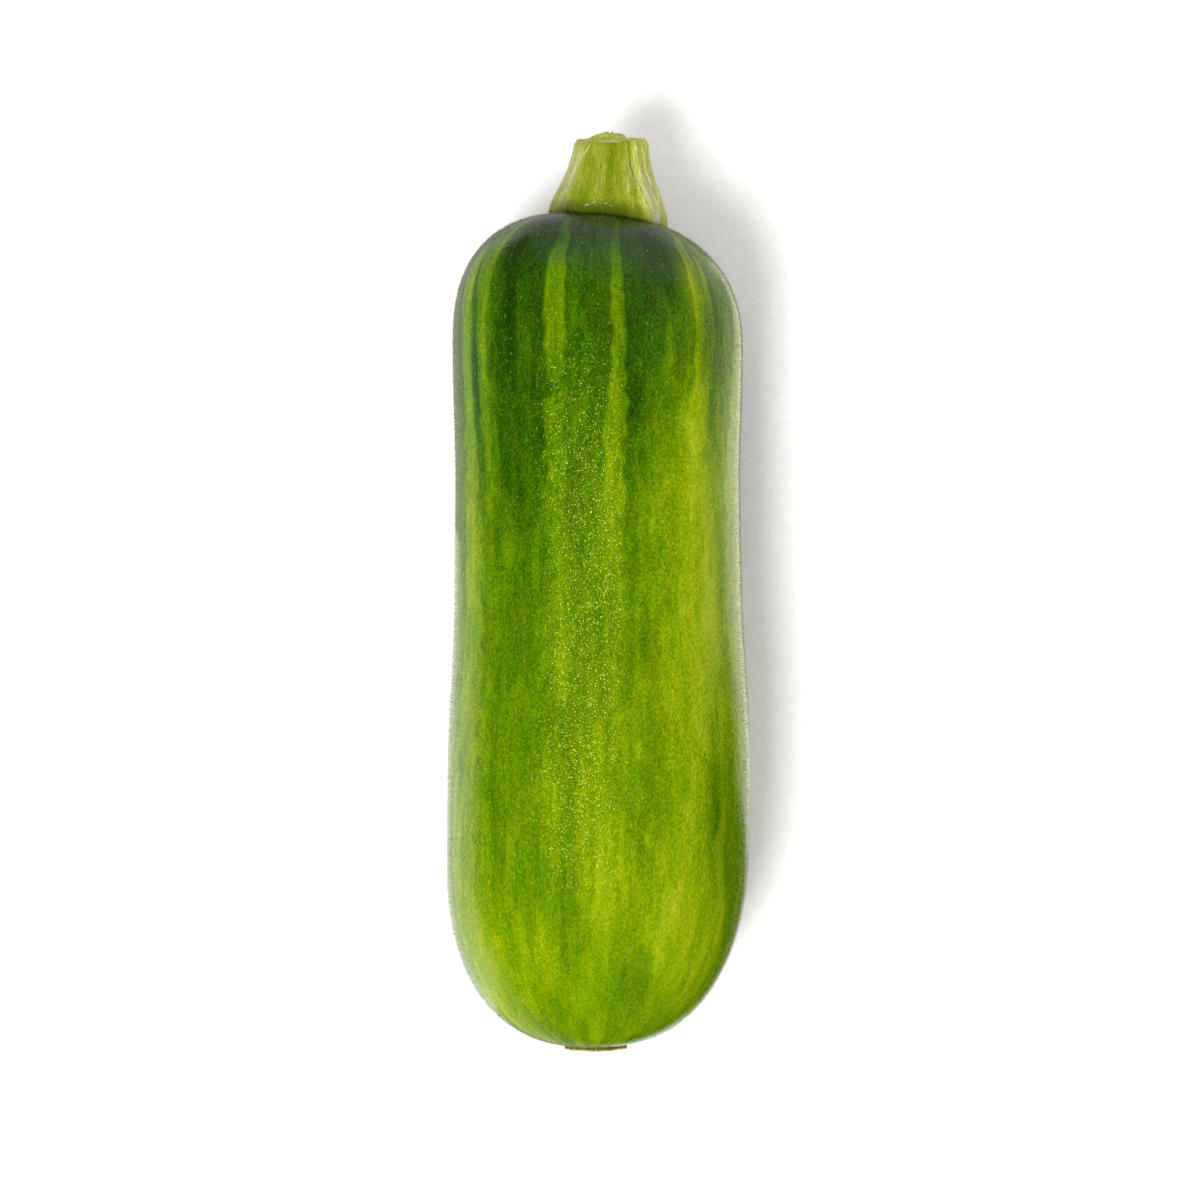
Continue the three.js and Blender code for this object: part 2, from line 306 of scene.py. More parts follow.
def make_fruit_tree(material):
    """The fruit: a third of its rows over each end, and a third along the tube."""
    tree = bpy.data.node_groups.new("fruit_shape", "GeometryNodeTree")
    size = float_inputs(tree, FRUIT_SIZES)
    grid, angle, share_along = start_wrap(tree, FRUIT_SEGMENTS, FRUIT_ROWS)
    step = share_along * 3.0  # 0 to 1 over the flower's end, to 2 along the tube, to 3 over the shoulder
    flower = (1.0 - step).math("MAXIMUM", 0.0) * (math.pi / 2)
    tube = between(step - 1.0, 0.0, 1.0)
    shoulder = (step - 2.0).math("MAXIMUM", 0.0) * (math.pi / 2)
    flower_reach = sine(flower).math("MAXIMUM", 0.0) ** (2 / FLOWER_FULLNESS)
    shoulder_reach = sine(shoulder).math("MAXIMUM", 0.0) ** (2 / SHOULDER_FULLNESS)
    y = (tube * (SHOULDER_CAP_Y - FLOWER_CAP_Y) + FLOWER_CAP_Y
         + flower_reach * (FLOWER_POLE_Y - FLOWER_CAP_Y)
         + shoulder_reach * (SHOULDER_POLE_Y - SHOULDER_CAP_Y))
    share = (cosine(flower).math("MAXIMUM", 0.0) ** (2 / FLOWER_FULLNESS)
             * cosine(shoulder).math("MAXIMUM", 0.0) ** (2 / SHOULDER_FULLNESS))
    radius = body_radius(y, size)
    lifted = radius * share * (relief(angle, y, size) + 1.0)
    x = lifted * sine(angle) + axis_x(y)
    z = (axis_z(y, size) + lifted * cosine(angle) * HEIGHT_RATIO).math("MAXIMUM", 0.0)
    tilt = smoothstep(y, TILT_FROM_Y, SHOULDER_POLE_Y) * SHOULDER_TILT
    place = combine(tree, x * MM, (y - tilt * x) * MM, z * MM)
    along = (tube * (SHOULDER_CAP_Y - FLOWER_CAP_Y) + FLOWER_CAP_Y
             - flower * (FLOWER_ARC * 2 / math.pi) + shoulder * (SHOULDER_ARC * 2 / math.pi))
    close_wrap(tree, store_around(tree, grid, angle, along), place, material)
    return tree


print("the waist is", round(2 * float(body_radius(CONTACT_Y, FRUIT_SIZES)), 1), "mm wide")

# %% [markdown]
# A tree does nothing until a modifier runs it. The next helper gives the modifier its values by each
# socket's identifier, lets Blender evaluate it once, and keeps the result as a plain mesh, so that
# nothing stays live.

# %% Run a tree once and keep the mesh
def bake_tree(name, tree, base_mesh=None, sizes=None, smooth=True):
    """Runs a tree of Geometry Nodes once and returns the result as an object with a plain mesh."""
    carrier = bpy.data.objects.new(name + "_carrier", base_mesh or bpy.data.meshes.new(name + "_carrier"))
    bpy.context.scene.collection.objects.link(carrier)
    modifier = carrier.modifiers.new("nodes", "NODES")
    modifier.node_group = tree
    for item in tree.interface.items_tree:
        if item.in_out == "INPUT" and item.name in (sizes or {}):
            modifier[item.identifier] = sizes[item.name]
    graph = bpy.context.evaluated_depsgraph_get()
    solved = carrier.evaluated_get(graph)
    mesh = bpy.data.meshes.new_from_object(solved, preserve_all_data_layers=True, depsgraph=graph)
    bpy.data.objects.remove(carrier)
    mesh.name = name
    mesh.polygons.foreach_set("use_smooth", [smooth] * len(mesh.polygons))
    piece = bpy.data.objects.new(name, mesh)
    bpy.context.scene.collection.objects.link(piece)
    print(name, "has", sum(len(p.vertices) - 2 for p in mesh.polygons), "triangles")
    return piece


skin_material = bpy.data.materials.new("courgette_skin")
fruit_skin = bake_tree("fruit_skin", make_fruit_tree(skin_material), sizes=FRUIT_SIZES)

# %% [markdown]
# ## Where the fruit is dark and where it is light
# The colour of the skin is laid down in three scales. The largest is drawn as a list of strokes and spots:
# dark at the stem, yellower towards the flower and on one flank, there partly as painted light that makes
# up for the lamp's shade, with light stripes that start between the ribs and dissolve on the way. Each
# stripe or stain is a stroke, a short line of points with a width. Every point of the mesh stores how far
# it lies outside the nearest stroke. The material later shifts that distance by noise, which gives the
# strokes their lobed, crisp edges. The finer scales, mottling and grain, are left to the material alone.

# %% A stroke on the skin
def read_points(mesh, name):
    """A vector attribute of a mesh as an array with one row for each point."""
    values = np.zeros(len(mesh.vertices) * 3, np.float32)
    mesh.attributes[name].data.foreach_get("vector", values)
    return values.reshape(-1, 3)


def keep_on_points(mesh, name, values):
    """Stores one number for each point of a mesh."""
    mesh.attributes.new(name, "FLOAT", "POINT").data.foreach_set("value", values.astype(np.float32))


def turned(angles, centre):
    """How far round from a centre, in degrees, the short way."""
    return (angles - centre + 180) % 360 - 180


around = read_points(fruit_skin.data, "around")
angle_deg = np.degrees(np.arctan2(around[:, 0], around[:, 1]))
along_mm = around[:, 2]
MM_PER_DEGREE = FRUIT_SIZES["Waist radius"] * math.pi / 180


FAR_OUTSIDE = 99.0


def lay_strokes(strokes, angles, alongs, mm_per_degree):
    """For each point: mm outside the nearest stroke, negative inside, and that stroke's strength there.

    A stroke is a list of (angle in degrees, mm along, half width in mm, strength).
    """
    outside = np.full(len(alongs), FAR_OUTSIDE)
    strength = np.zeros(len(alongs))
    for stroke in strokes:
        for (a0, y0, w0, s0), (a1, y1, w1, s1) in zip(stroke, stroke[1:]):
            across = turned(angles, a0) * mm_per_degree
            up = alongs - y0
            run, rise = (a1 - a0) * mm_per_degree, y1 - y0
            share = np.clip((across * run + up * rise) / (run * run + rise * rise), 0, 1)
            gap = np.hypot(across - share * run, up - share * rise) - (w0 + (w1 - w0) * share)
            nearer = gap < outside
            outside = np.where(nearer, gap, outside)
            strength = np.where(nearer, s0 + (s1 - s0) * share, strength)
    return outside, strength


print("one degree round the waist is", round(MM_PER_DEGREE, 2), "mm")

# %% The stripes and the stains, drawn one by one
LIGHT_STROKES = [
    [(-30, 90, 0.6, 0.3), (-20, 80, 0.9, 0.6), (-16, 71, 1.3, 0.9), (-17, 60, 2.0, 1.1),
     (-16.5, 48, 2.0, 1.0), (-15.5, 38, 1.7, 0.9), (-17, 24, 2.2, 0.8), (-16, 12, 1.6, 0.65),
     (-14, 2, 1.4, 0.45), (-14, -20, 1.4, 0.3)],
    [(18, 84, 0.4, 0.4), (11, 74, 0.8, 0.6), (8.6, 66, 1.2, 0.8), (8.2, 56, 1.3, 0.95), (8, 44, 1.3, 0.9),
     (6.5, 34, 2.1, 0.9), (5, 24, 1.8, 0.8), (6, 12, 1.6, 0.5), (6, -2, 1.8, 0.35), (7, -24, 1.6, 0.25)],
    [(66, 84, 0.6, 0.5), (55, 76, 1.2, 0.7), (46, 70, 1.7, 0.9), (44, 60, 1.8, 1.0),
     (43.5, 50, 1.8, 0.95), (43, 42, 1.9, 0.8), (40, 30, 3.2, 0.5)],
    [(53, 67, 0.8, 0.6), (50, 59, 1.2, 0.9), (49, 50, 1.3, 0.8), (48, 40, 1.0, 0.6)],
    [(29, 55, 0.25, 0.25), (28, 46, 0.6, 0.5), (27, 40, 0.8, 0.3)],
    [(-54, 92, 2.2, 0.5), (-54, 80, 3.0, 0.8), (-54, 70, 3.4, 0.9), (-53, 62, 3.0, 0.95),
     (-51, 54, 2.1, 0.9), (-51, 44, 1.9, 0.8), (-50, 34, 1.7, 0.7), (-48.5, 22, 1.3, 0.6),
     (-48, 15, 0.9, 0.3)],
    [(-69, 74, 1.0, 0.5), (-65, 65, 2.4, 0.8), (-65, 58, 2.5, 0.9), (-62, 48, 1.9, 0.9),
     (-62, 30, 2.4, 0.8), (-61, 8, 3.4, 0.7), (-60, -14, 4.0, 0.6), (-62, -40, 4.4, 0.45),
     (-60, -66, 3.5, 0.3)],
    [(80, 76, 1.0, 0.5), (79, 64, 2.2, 0.9), (77, 54, 3.0, 1.1), (74, 40, 4.4, 1.1), (71, 20, 5.2, 1.0),
     (70, 0, 4.6, 0.8), (70, -16, 2.8, 0.5)],
    [(101, 80, 0.6, 0.4), (100, 60, 1.5, 0.9), (103, 30, 2.1, 0.8), (101, 0, 2.4, 0.5),
     (100, -30, 2.0, 0.3)],
    [(130, 82, 0.6, 0.4), (133, 62, 1.4, 1.0), (132, 36, 1.9, 0.9), (135, 8, 1.8, 0.6),
     (133, -20, 1.6, 0.3)],
    [(163, 80, 0.5, 0.4), (163, 58, 1.2, 0.8), (160, 34, 1.8, 0.8), (162, 6, 2.2, 0.5),
     (160, -26, 1.8, 0.3)],
    [(-168, 82, 0.6, 0.4), (-166, 60, 1.6, 1.0), (-164, 32, 2.0, 0.9), (-167, 2, 1.8, 0.6),
     (-165, -24, 1.4, 0.3)],
    [(-136, 80, 0.5, 0.4), (-134, 58, 1.3, 0.9), (-132, 30, 1.8, 0.8), (-135, 4, 2.4, 0.5),
     (-133, -24, 2.0, 0.3)],
    [(-101, 80, 0.6, 0.4), (-101, 62, 1.4, 0.9), (-98, 38, 2.0, 0.9), (-102, 10, 2.4, 0.6),
     (-100, -22, 2.2, 0.4)],
]
DARK_STROKES = [
    [(-55, 54, 0.5, 0.3), (-54, 44, 1.2, 0.8), (-54, 36, 0.5, 0.4)],
    [(-40, 88, 1.6, 0.5), (-40, 74, 2.6, 0.7), (-38, 58, 3.0, 0.5), (-38, 40, 3.0, 0.6),
     (-36, 24, 2.8, 0.5), (-33, 10, 1.6, 0.3)],
    [(-27, 78, 1.4, 0.5), (-25, 66, 1.6, 0.4), (-24, 46, 1.3, 0.5), (-25, 26, 1.4, 0.5),
     (-22, 14, 0.9, 0.3)],
    [(-3, 56, 2.0, 0.25), (2, 48, 2.0, 0.5), (3, 42, 1.0, 0.4)],
    [(14, 56, 1.4, 0.4), (14, 40, 1.7, 0.6), (15, 26, 1.6, 0.4)],
    [(36, 84, 1.6, 0.5), (28, 72, 3.2, 0.6), (30, 62, 3.2, 0.6), (34, 52, 1.3, 0.6), (33, 44, 0.8, 0.3)],
    [(64, 72, 2.0, 0.4), (61, 60, 2.0, 0.4), (60, 50, 1.6, 0.2)],
    [(-10, 84, 1.4, 0.5), (-5, 74, 2.4, 0.5), (-4, 64, 1.8, 0.3)],
    [(54, -15, 0.5, 0.3), (58, -22, 2.0, 0.5), (60, -36, 2.6, 0.7), (63, -52, 3.2, 1.0),
     (66, -64, 2.0, 0.8)],
    [(50, -40, 1.0, 0.3), (50, -48, 2.0, 0.5), (52, -56, 1.0, 0.4)],
    [(14, -56, 0.8, 0.4), (15, -62, 1.4, 0.5)],
    [(17, -2, 0.5, 0.3), (17, -14, 0.7, 0.5), (16, -28, 0.6, 0.3)],
    [(-44, -12, 1.2, 0.5), (-42, -26, 1.0, 0.4), (-43, -40, 1.2, 0.3)],
    [(115, 50, 2.0, 0.5), (118, 20, 1.6, 0.4)],
    [(-150, 50, 2.2, 0.5), (-149, 16, 1.6, 0.4)],
    [(-116, 40, 1.8, 0.5), (-118, 10, 1.4, 0.4)],
]
for kind, strokes in (("light", LIGHT_STROKES), ("dark", DARK_STROKES)):
    gap, strength = lay_strokes(strokes, angle_deg, along_mm, MM_PER_DEGREE)
    keep_on_points(fruit_skin.data, kind + "_gap", gap)
    keep_on_points(fruit_skin.data, kind + "_strength", strength)
    print(len(strokes), kind, "strokes")

# %% Ripeness and painted light: 0 is the dark green of the shoulder, 1 the yellow-green of the belly; spots on the flanks add painted light
def patch(angles, alongs, angle, along, half_width, half_length):
    """A soft spot: 1 in its middle, fading out at the given half width in degrees and half length in mm."""
    side = turned(angles, angle) / half_width
    end = (alongs - along) / half_length
    return np.exp(-side * side - end * end)


RIPENING = [  # (mm along, ripeness)
    (-107, 0.62), (-87, 0.62), (-69, 0.68), (-58, 0.66), (-50, 0.63), (-38, 0.61), (-26, 0.61),
    (-14, 0.56), (-2, 0.51), (10, 0.43), (22, 0.36), (34, 0.28), (46, 0.22), (56, 0.15), (70, 0.09),
    (80, 0.05), (94, 0.04),
]
ripeness_and_painted_light = np.interp(along_mm, *zip(*RIPENING))
# Most spots are the skin's own patches. Those that lift the flanks and the right of the shoulder are partly
# painted light: they make up for the little lamp light reaching those sides.
SOFT_SPOTS = [  # angle, mm along, half width, half length, how much riper
    # wide areas; those near ±62° and ±78° and on the right flank are partly painted light, which lifts
    # sides that get less of the lamp
    (35, -10, 10, 60, 0.15), (-17, -14, 7, 34, 0.10), (3, 0, 14, 60, 0.06), (42, 16, 15, 20, 0.24),
    (46, -14, 22, 24, 0.20), (50, 10, 18, 48, 0.20), (20, -62, 26, 14, 0.08), (45, -62, 18, 16, 0.14),
    (-36, -46, 14, 16, -0.10), (-62, 5, 14, 70, 0.10), (-78, 10, 9, 30, 0.12), (78, 5, 9, 50, 0.15),
    (150, -30, 40, 60, 0.10),
    # the shoulder; the strong spots near 65° lift its right side, partly as painted light
    (-63, 60, 6, 9, 0.24), (-33, 52, 6, 12, -0.16), (-18, 70, 5, 5, -0.18), (-10, 59, 7, 8, 0.20),
    (2, 64, 6, 5, 0.15), (44, 60, 12, 12, 0.14), (39, 61, 6, 9, 0.48), (46, 50, 5, 8, -0.40),
    (64, 54, 10, 11, 0.27), (65, 73, 15, 11, 0.75),
    # the left flank
    (-61, 40, 8, 15, 0.15), (-54, 38, 4, 10, -0.25), (-47, 50, 5, 14, 0.16), (-39, 42, 4, 9, -0.10),
    (-30, 9, 9, 16, -0.10),
    (-61, -30, 8, 16, -0.20), (-47, -65, 11, 13, 0.22), (-56, -82, 14, 12, 0.26), (-42, -92, 16, 8, 0.20),
    # the top
    (-17, 27, 5, 11, -0.18), (3, 32, 5, 8, 0.10), (13, 42, 5, 8, -0.13), (24, 42, 5, 8, 0.12),
    (24, 20, 6, 12, 0.26), (13, 5, 7, 12, 0.10), (3, -6, 5, 6, -0.10), (-28, -28, 8, 13, -0.16),
    (-17, -28, 5, 7, -0.12), (-17, -39, 5, 7, 0.14), (3, -41, 7, 18, 0.12), (13, -28, 5, 8, 0.15),
    (3, -57, 5, 14, 0.14), (-8, -64, 6, 9, -0.17), (-20, -68, 6, 10, 0.13), (17, -73, 8, 7, -0.22),
    (3, -92, 9, 6, 0.12),
    # the right flank, lifted partly as painted light for the lamp's shade on that side
    (35, 33, 7, 18, 0.22), (52, 20, 10, 22, 0.10), (65, 33, 9, 24, 0.36), (47, 32, 5, 9, -0.09),
    (35, -8, 5, 8, 0.08), (66, -29, 10, 14, 0.20), (48, -38, 5, 8, -0.18), (30, -55, 9, 12, 0.13),
    (57, -47, 9, 9, -0.13), (55, -63, 6, 7, 0.11), (62, -68, 8, 9, -0.12),
]
for *spot, lighter in SOFT_SPOTS:
    ripeness_and_painted_light += lighter * patch(angle_deg, along_mm, *spot)
keep_on_points(fruit_skin.data, "ripeness_and_painted_light", ripeness_and_painted_light)
print("ripeness runs from", round(float(ripeness_and_painted_light.min()), 2), "to", round(float(ripeness_and_painted_light.max()), 2))

# %% Bloom and reflection: greyish wax round the stem, on the dark bands beside it, and round the scar, partly real bloom and partly a painted reflection of the pale table on the rounded ends
stem_bloom_and_reflection = smoothstep(along_mm, 55, 80) * (1 - 0.75 * patch(angle_deg, along_mm, 72, 74, 20, 22))
band_bloom_and_reflection = 0.75 * patch(angle_deg, along_mm, 26, 68, 16, 18)
band_bloom_and_reflection += 0.2 * patch(angle_deg, along_mm, 57, 54, 9, 18)
scar_bloom_and_reflection = 0.4 * smoothstep(-along_mm, 101, 107)
bloom_and_reflection_share = np.clip(np.maximum(stem_bloom_and_reflection + band_bloom_and_reflection, scar_bloom_and_reflection), 0, 1)
keep_on_points(fruit_skin.data, "bloom_and_reflection", bloom_and_reflection_share)
print("bloom lies on", round(float((bloom_and_reflection_share > 0.1).mean()) * 100), "% of the points")

# %% [markdown]
# ## The skin's material
# The material reads the stored numbers and breaks them up. Streaks follow the fruit: their pattern
# lives in a space where the way along is squeezed, so that every spot of noise is drawn out lengthwise.
# Pores are Voronoi cells. All of it is added to the ripeness, which carries some painted light on the
# flanks, and one colour ramp turns the sum into green. A skin like this is a thin coat of wax over cells,
# so it has a soft gloss, which the bumps of its pores break up.

# %% Colour helpers
LAMP_LIGHT = 1 / 1.75  # paint is dimmed by this, because a surface looks 1.75 times as bright in this light
PLANT_IOR = 1.3


def paint(red, green, blue):
    """The look of a colour under the lamp, in screen values from 0 to 255, as the shader's own colour."""
    def linear(value):
        """One screen value on the linear scale of light, by the curve of an sRGB screen."""
        value = value / 255
        return value / 12.92 if value <= 0.04045 else ((value + 0.055) / 1.055) ** 2.4
    return (*(linear(value) * LAMP_LIGHT for value in (red, green, blue)), 1.0)


def ramp(tree, share, stops):
    """A colour ramp: stops are (position from 0 to 1, paint)."""
    node = tree.nodes.new("ShaderNodeValToRGB")
    elements = node.color_ramp.elements
    while len(elements) < len(stops):
        elements.new(0.5)
    for element, (position, colour) in zip(elements, stops):
        element.position = position
        element.color = paint(*colour)
    feed(share, node.inputs[0])
    return Wire(node.outputs[0])


def long_ramp(tree, value, stops):
    """A colour ramp for values that run past 0 or 1: stops are (value, paint)."""
    low, reach = stops[0][0], stops[-1][0] - stops[0][0]
    shares = [((place - low) / reach, colour) for place, colour in stops]
    return ramp(tree, (value - low) * (1 / reach), shares)


def mix_colour(tree, share, a, b):
    """From colour a to colour b."""
    node = add_node(tree, "ShaderNodeMix", {"data_type": "RGBA"})
    for entry, value in zip((node.inputs[0], node.inputs[6], node.inputs[7]), (share, a, b)):
        feed(value, entry)
    return Wire(node.outputs[2])


def attribute(tree, name, output="Fac"):
    """A number or a vector stored on the mesh."""
    return Wire(add_node(tree, "ShaderNodeAttribute", {"attribute_name": name}).outputs[output])


def noise_at(tree, place, scale, detail=2.0, roughness=0.5):
    """Noise from 0 to 1, 0.5 on average."""
    return add_wire(tree, "ShaderNodeTexNoise", Vector=place, Scale=scale, Detail=detail,
                    Roughness=roughness)


def grown_noise(around_wire, radius, squeeze, scale, detail=2.0, roughness=0.5):
    """Noise on a grown piece: a squeeze under 1 draws its spots out lengthwise."""
    side, top, along = split(around_wire)
    tree = around_wire.socket.id_data
    place = combine(tree, side * radius, top * radius, along * squeeze)
    return noise_at(tree, place, scale, detail, roughness)


def place_in_mm(tree):
    """The place on the piece, in millimetres."""
    return scaled(Wire(tree.nodes.new("ShaderNodeTexCoord").outputs["Object"]), 1 / MM)


def nodes_of(material):
    """Turns a material's nodes on, and returns its tree and its shader."""
    material.use_nodes = True
    tree = material.node_tree
    return tree, tree.nodes["Principled BSDF"]


def finish_material(material, colour, height, roughness):
    """Gives a material its colour, its bumps, as high as height in metres, and its roughness."""
    tree, shader = nodes_of(material)
    bumps = add_wire(tree, "ShaderNodeBump", Strength=1.0, Distance=1.0, Height=height)
    fill(shader, Base_Color=colour, Normal=bumps, Roughness=roughness, IOR=PLANT_IOR)
    print(material.name, "has", len(tree.nodes), "nodes")


print("a middle green is", [round(value, 3) for value in paint(94, 135, 0)[:3]])

# %% Skin: streaks, mottling and pores
GREENS = [  # (lightness, paint)
    (-0.15, (33, 62, 6)), (0.0, (42, 79, 2)), (0.14, (53, 95, 0)), (0.23, (62, 105, 0)),
    (0.32, (73, 115, 0)), (0.41, (84, 125, 0)), (0.50, (94, 135, 0)), (0.59, (105, 145, 0)),
    (0.68, (118, 155, 0)), (0.77, (131, 165, 0)), (0.86, (145, 175, 2)), (0.95, (159, 185, 6)),
    (1.05, (172, 194, 20)), (1.25, (190, 208, 50)),
]
SKIN_RADIUS = 30.0
tree, _ = nodes_of(skin_material)
around_wire = attribute(tree, "around", "Vector")
_, _, along_wire = split(around_wire)
place_mm = place_in_mm(tree)

mottling = grown_noise(around_wire, SKIN_RADIUS, 0.26, 0.16, 2.0, 0.55)
streaks = grown_noise(around_wire, SKIN_RADIUS, 0.12, 0.55, 2.0, 0.5)
blotches = grown_noise(around_wire, SKIN_RADIUS, 0.4, 0.5, 2.0, 0.55)
grain = grown_noise(around_wire, SKIN_RADIUS, 0.8, 2.2, 2.0, 0.6)
lobes = grown_noise(around_wire, SKIN_RADIUS, 0.7, 0.34, 1.0)
rays = grown_noise(around_wire, SKIN_RADIUS, 0.04, 0.5, 3.0, 0.6)
specks = noise_at(tree, place_mm, 4.6, 1.0)
hue_noise = grown_noise(around_wire, -SKIN_RADIUS, 0.3, 0.45, 4.0, 0.65)
print(len(GREENS), "greens, from", GREENS[0][1], "to", GREENS[-1][1])

# %% Skin: strokes, mottling and grain add up to one lightness
wandering = smoothstep(along_wire, 60.0, 36.0, 0.3, 1.0)  # the strokes run straight on the shoulder
shift = ((lobes - 0.5) * 4.2 + (blotches - 0.5) * 1.8) * wandering + (grain - 0.5) * 1.6
in_light = smoothstep(attribute(tree, "light_gap") + shift, 0.35, -0.35) * attribute(tree, "light_strength")
in_dark = smoothstep(attribute(tree, "dark_gap") - shift, 0.6, -0.6) * attribute(tree, "dark_strength")
islands = smoothstep(mottling + (blotches - 0.5) * 0.35 + (grain - 0.5) * 0.2, 0.5, 0.56)
finish = smoothstep(along_wire, -70.0, -30.0, 0.76, 1.0)  # the ripe end is the smoother one
lightness = (attribute(tree, "ripeness_and_painted_light") + in_light * smoothstep(along_wire, 30.0, 62.0, 0.32, 0.42)
             - in_dark * 0.2 + (mottling - 0.5) * 0.32 + (islands - 0.5) * 0.06 + (streaks - 0.5) * 0.26
             + (rays - 0.5) * smoothstep(along_wire, -74.0, -98.0, 0.0, 0.95)
             + ((blotches - 0.5) * 0.4 + (grain - 0.5) * 0.95 + (specks - 0.5) * 0.8) * finish)
skin_colour = add_wire(tree, "ShaderNodeHueSaturation", Hue=(hue_noise - 0.5) * 0.085 + 0.5,
                       Color=long_ramp(tree, lightness, GREENS))
print("the skin's tree has", len(tree.nodes), "nodes so far")

# %% Skin: pores, bloom, gloss and bumps
pores = add_node(tree, "ShaderNodeTexVoronoi", {"feature": "F1"}, Vector=place_mm, Scale=0.95,
                 Randomness=1.0)
pore_distance = Wire(pores.outputs["Distance"])
pore_luck, _, _ = split(Wire(pores.outputs["Color"]))
pale_pore = smoothstep(pore_distance, 0.26, 0.10) * smoothstep(pore_luck, 0.55, 0.8)
bloom_and_reflection = attribute(tree, "bloom_and_reflection") * smoothstep(blotches, 0.25, 0.7, 0.6, 1.0) * (1.0 - in_light * 0.7)
# Greyish paint over the bloom: partly the wax itself, partly a painted reflection of the table.
skin_colour = mix_colour(tree, bloom_and_reflection * 0.65, skin_colour, paint(46, 66, 42))
skin_colour = mix_colour(tree, pale_pore * 0.42, skin_colour, paint(150, 178, 84))
bump_height = (smoothstep(pore_distance, 0.0, 0.5) * 0.03 + blotches * 0.05 + grain * 0.05
               + noise_at(tree, place_mm, 4.5, 2.0) * 0.02) * MM
finish_material(skin_material, skin_colour, bump_height, blend(0.10, 0.2, bloom_and_reflection) + (grain - 0.5) * 0.06)

# %% [markdown]
# ## The stem
# A courgette hangs from a hard, five-ridged stem that flares into a foot on the shoulder. A knife cut
# it short, and its pith tore and stands out of the cut. The same wrapped grid makes it: first the foot
# that sits on the fruit, then the fluted side, then the cut face. Fibres run from foot to cut as fine
# real ridges in the mesh. The foot has to follow the shoulder, so a formula gives the fruit's surface
# at any place under it.

# %% Sizes of the stem, in millimetres
STEM_SIZES = {
    "Foot radius": 12.3,
    "Cut radius": 7.35,
    "Length": 15.1,
    "Groove depth at the foot": 0.17,  # a share of the radius, as the next one
    "Groove depth at the cut": 0.1,
    "Flute height": 0.2,
    "Fibre height": 0.2,
    "Core height": 1.15,
}
STEM_X, STEM_LEAN_X, STEM_LEAN_Z, STEM_SINK = 2.0, 0.5, 1.0, 0.25
FOOT_CONTACT_SHARE, LIP_HEIGHT, FLARE_LENGTH = 0.92, 1.5, 7.95
CUT_TILT, CUT_EDGE_ROUND, CUT_HOLLOW = math.tan(math.radians(10.5)), 0.55, 0.5
CORE_RADIUS, CORE_SLOPE, CORE_RAGGEDNESS = 4.2, 2.3, 2.6
CORE_X, CLEFT_X, CLEFT_HALF_WIDTH, CLEFT_DEPTH = -0.7, 0.4, 0.28, 0.3
RIDGE_SHARPNESS, RIDGE_TWIST, RIDGE_LOBE_POWER = 1.4, math.radians(9.0), 8.0
FIBRE_SWAY, SMOOTH_SIDE = 0.3, math.radians(-8.0)
RIDGE_STRENGTHS = [1.0, 0.86, 1.08, 0.92, 1.04]
STEM_SEGMENTS, STEM_ROWS, SIDE_ROW_POWER = 360, 150, 1.2
FOOT_SHARE, SIDE_SHARE = 0.08, 0.62  # of the rows
STEM_RADIUS = 10.0  # for its noise
print("the stem's grid has", STEM_SEGMENTS * (STEM_ROWS - 1), "faces")

# %% The surface that the stem and the scar sit on
def end_y(x, z, end):
    """The Y of an end of the fruit in line with (x, z): end is 1 for the shoulder and -1 for the flower."""
    pole, cap, fullness = ((SHOULDER_POLE_Y, SHOULDER_CAP_Y, SHOULDER_FULLNESS) if end > 0
                           else (FLOWER_POLE_Y, FLOWER_CAP_Y, FLOWER_FULLNESS))
    across = x - axis_x(pole)
    up = (z - axis_z(pole, FRUIT_SIZES)) * (1 / HEIGHT_RATIO)
    angle = across.math("ARCTAN2", up)
    plain = (across * across + up * up) ** 0.5 / (relief(angle, pole, FRUIT_SIZES) + 1.0)
    share = between(plain * (1 / body_radius(pole, FRUIT_SIZES)), 0.0, 1.0)
    y = (1.0 - share ** fullness) ** (1 / fullness) * (pole - cap) + cap
    return y - smoothstep(y, TILT_FROM_Y, SHOULDER_POLE_Y) * SHOULDER_TILT * x


def ring(tree, angle, radius, along):
    """The place at an angle round, a radius out and a way along."""
    return combine(tree, sine(angle) * radius, cosine(angle) * radius, along)


def bump_noise(tree, place, *settings):
    """Noise for a shape, centred on 0: about -0.5 to 0.5."""
    return noise_at(tree, place, *settings) - 0.5

# %% The stem as a tree of nodes

def ridge_strength(tree, angle):
    """How strong the ridge beside an angle is: a wave for each ridge that differs from the mean."""
    total = None
    for number, strength in enumerate(RIDGE_STRENGTHS):
        centre = RIB_ANGLE + number * 2 * math.pi / RIB_COUNT
        lobe = (cosine(angle - centre) * 0.5 + 0.5) ** RIDGE_LOBE_POWER * (strength - 1.0)
        total = lobe if total is None else total + lobe
    return total + 1.0


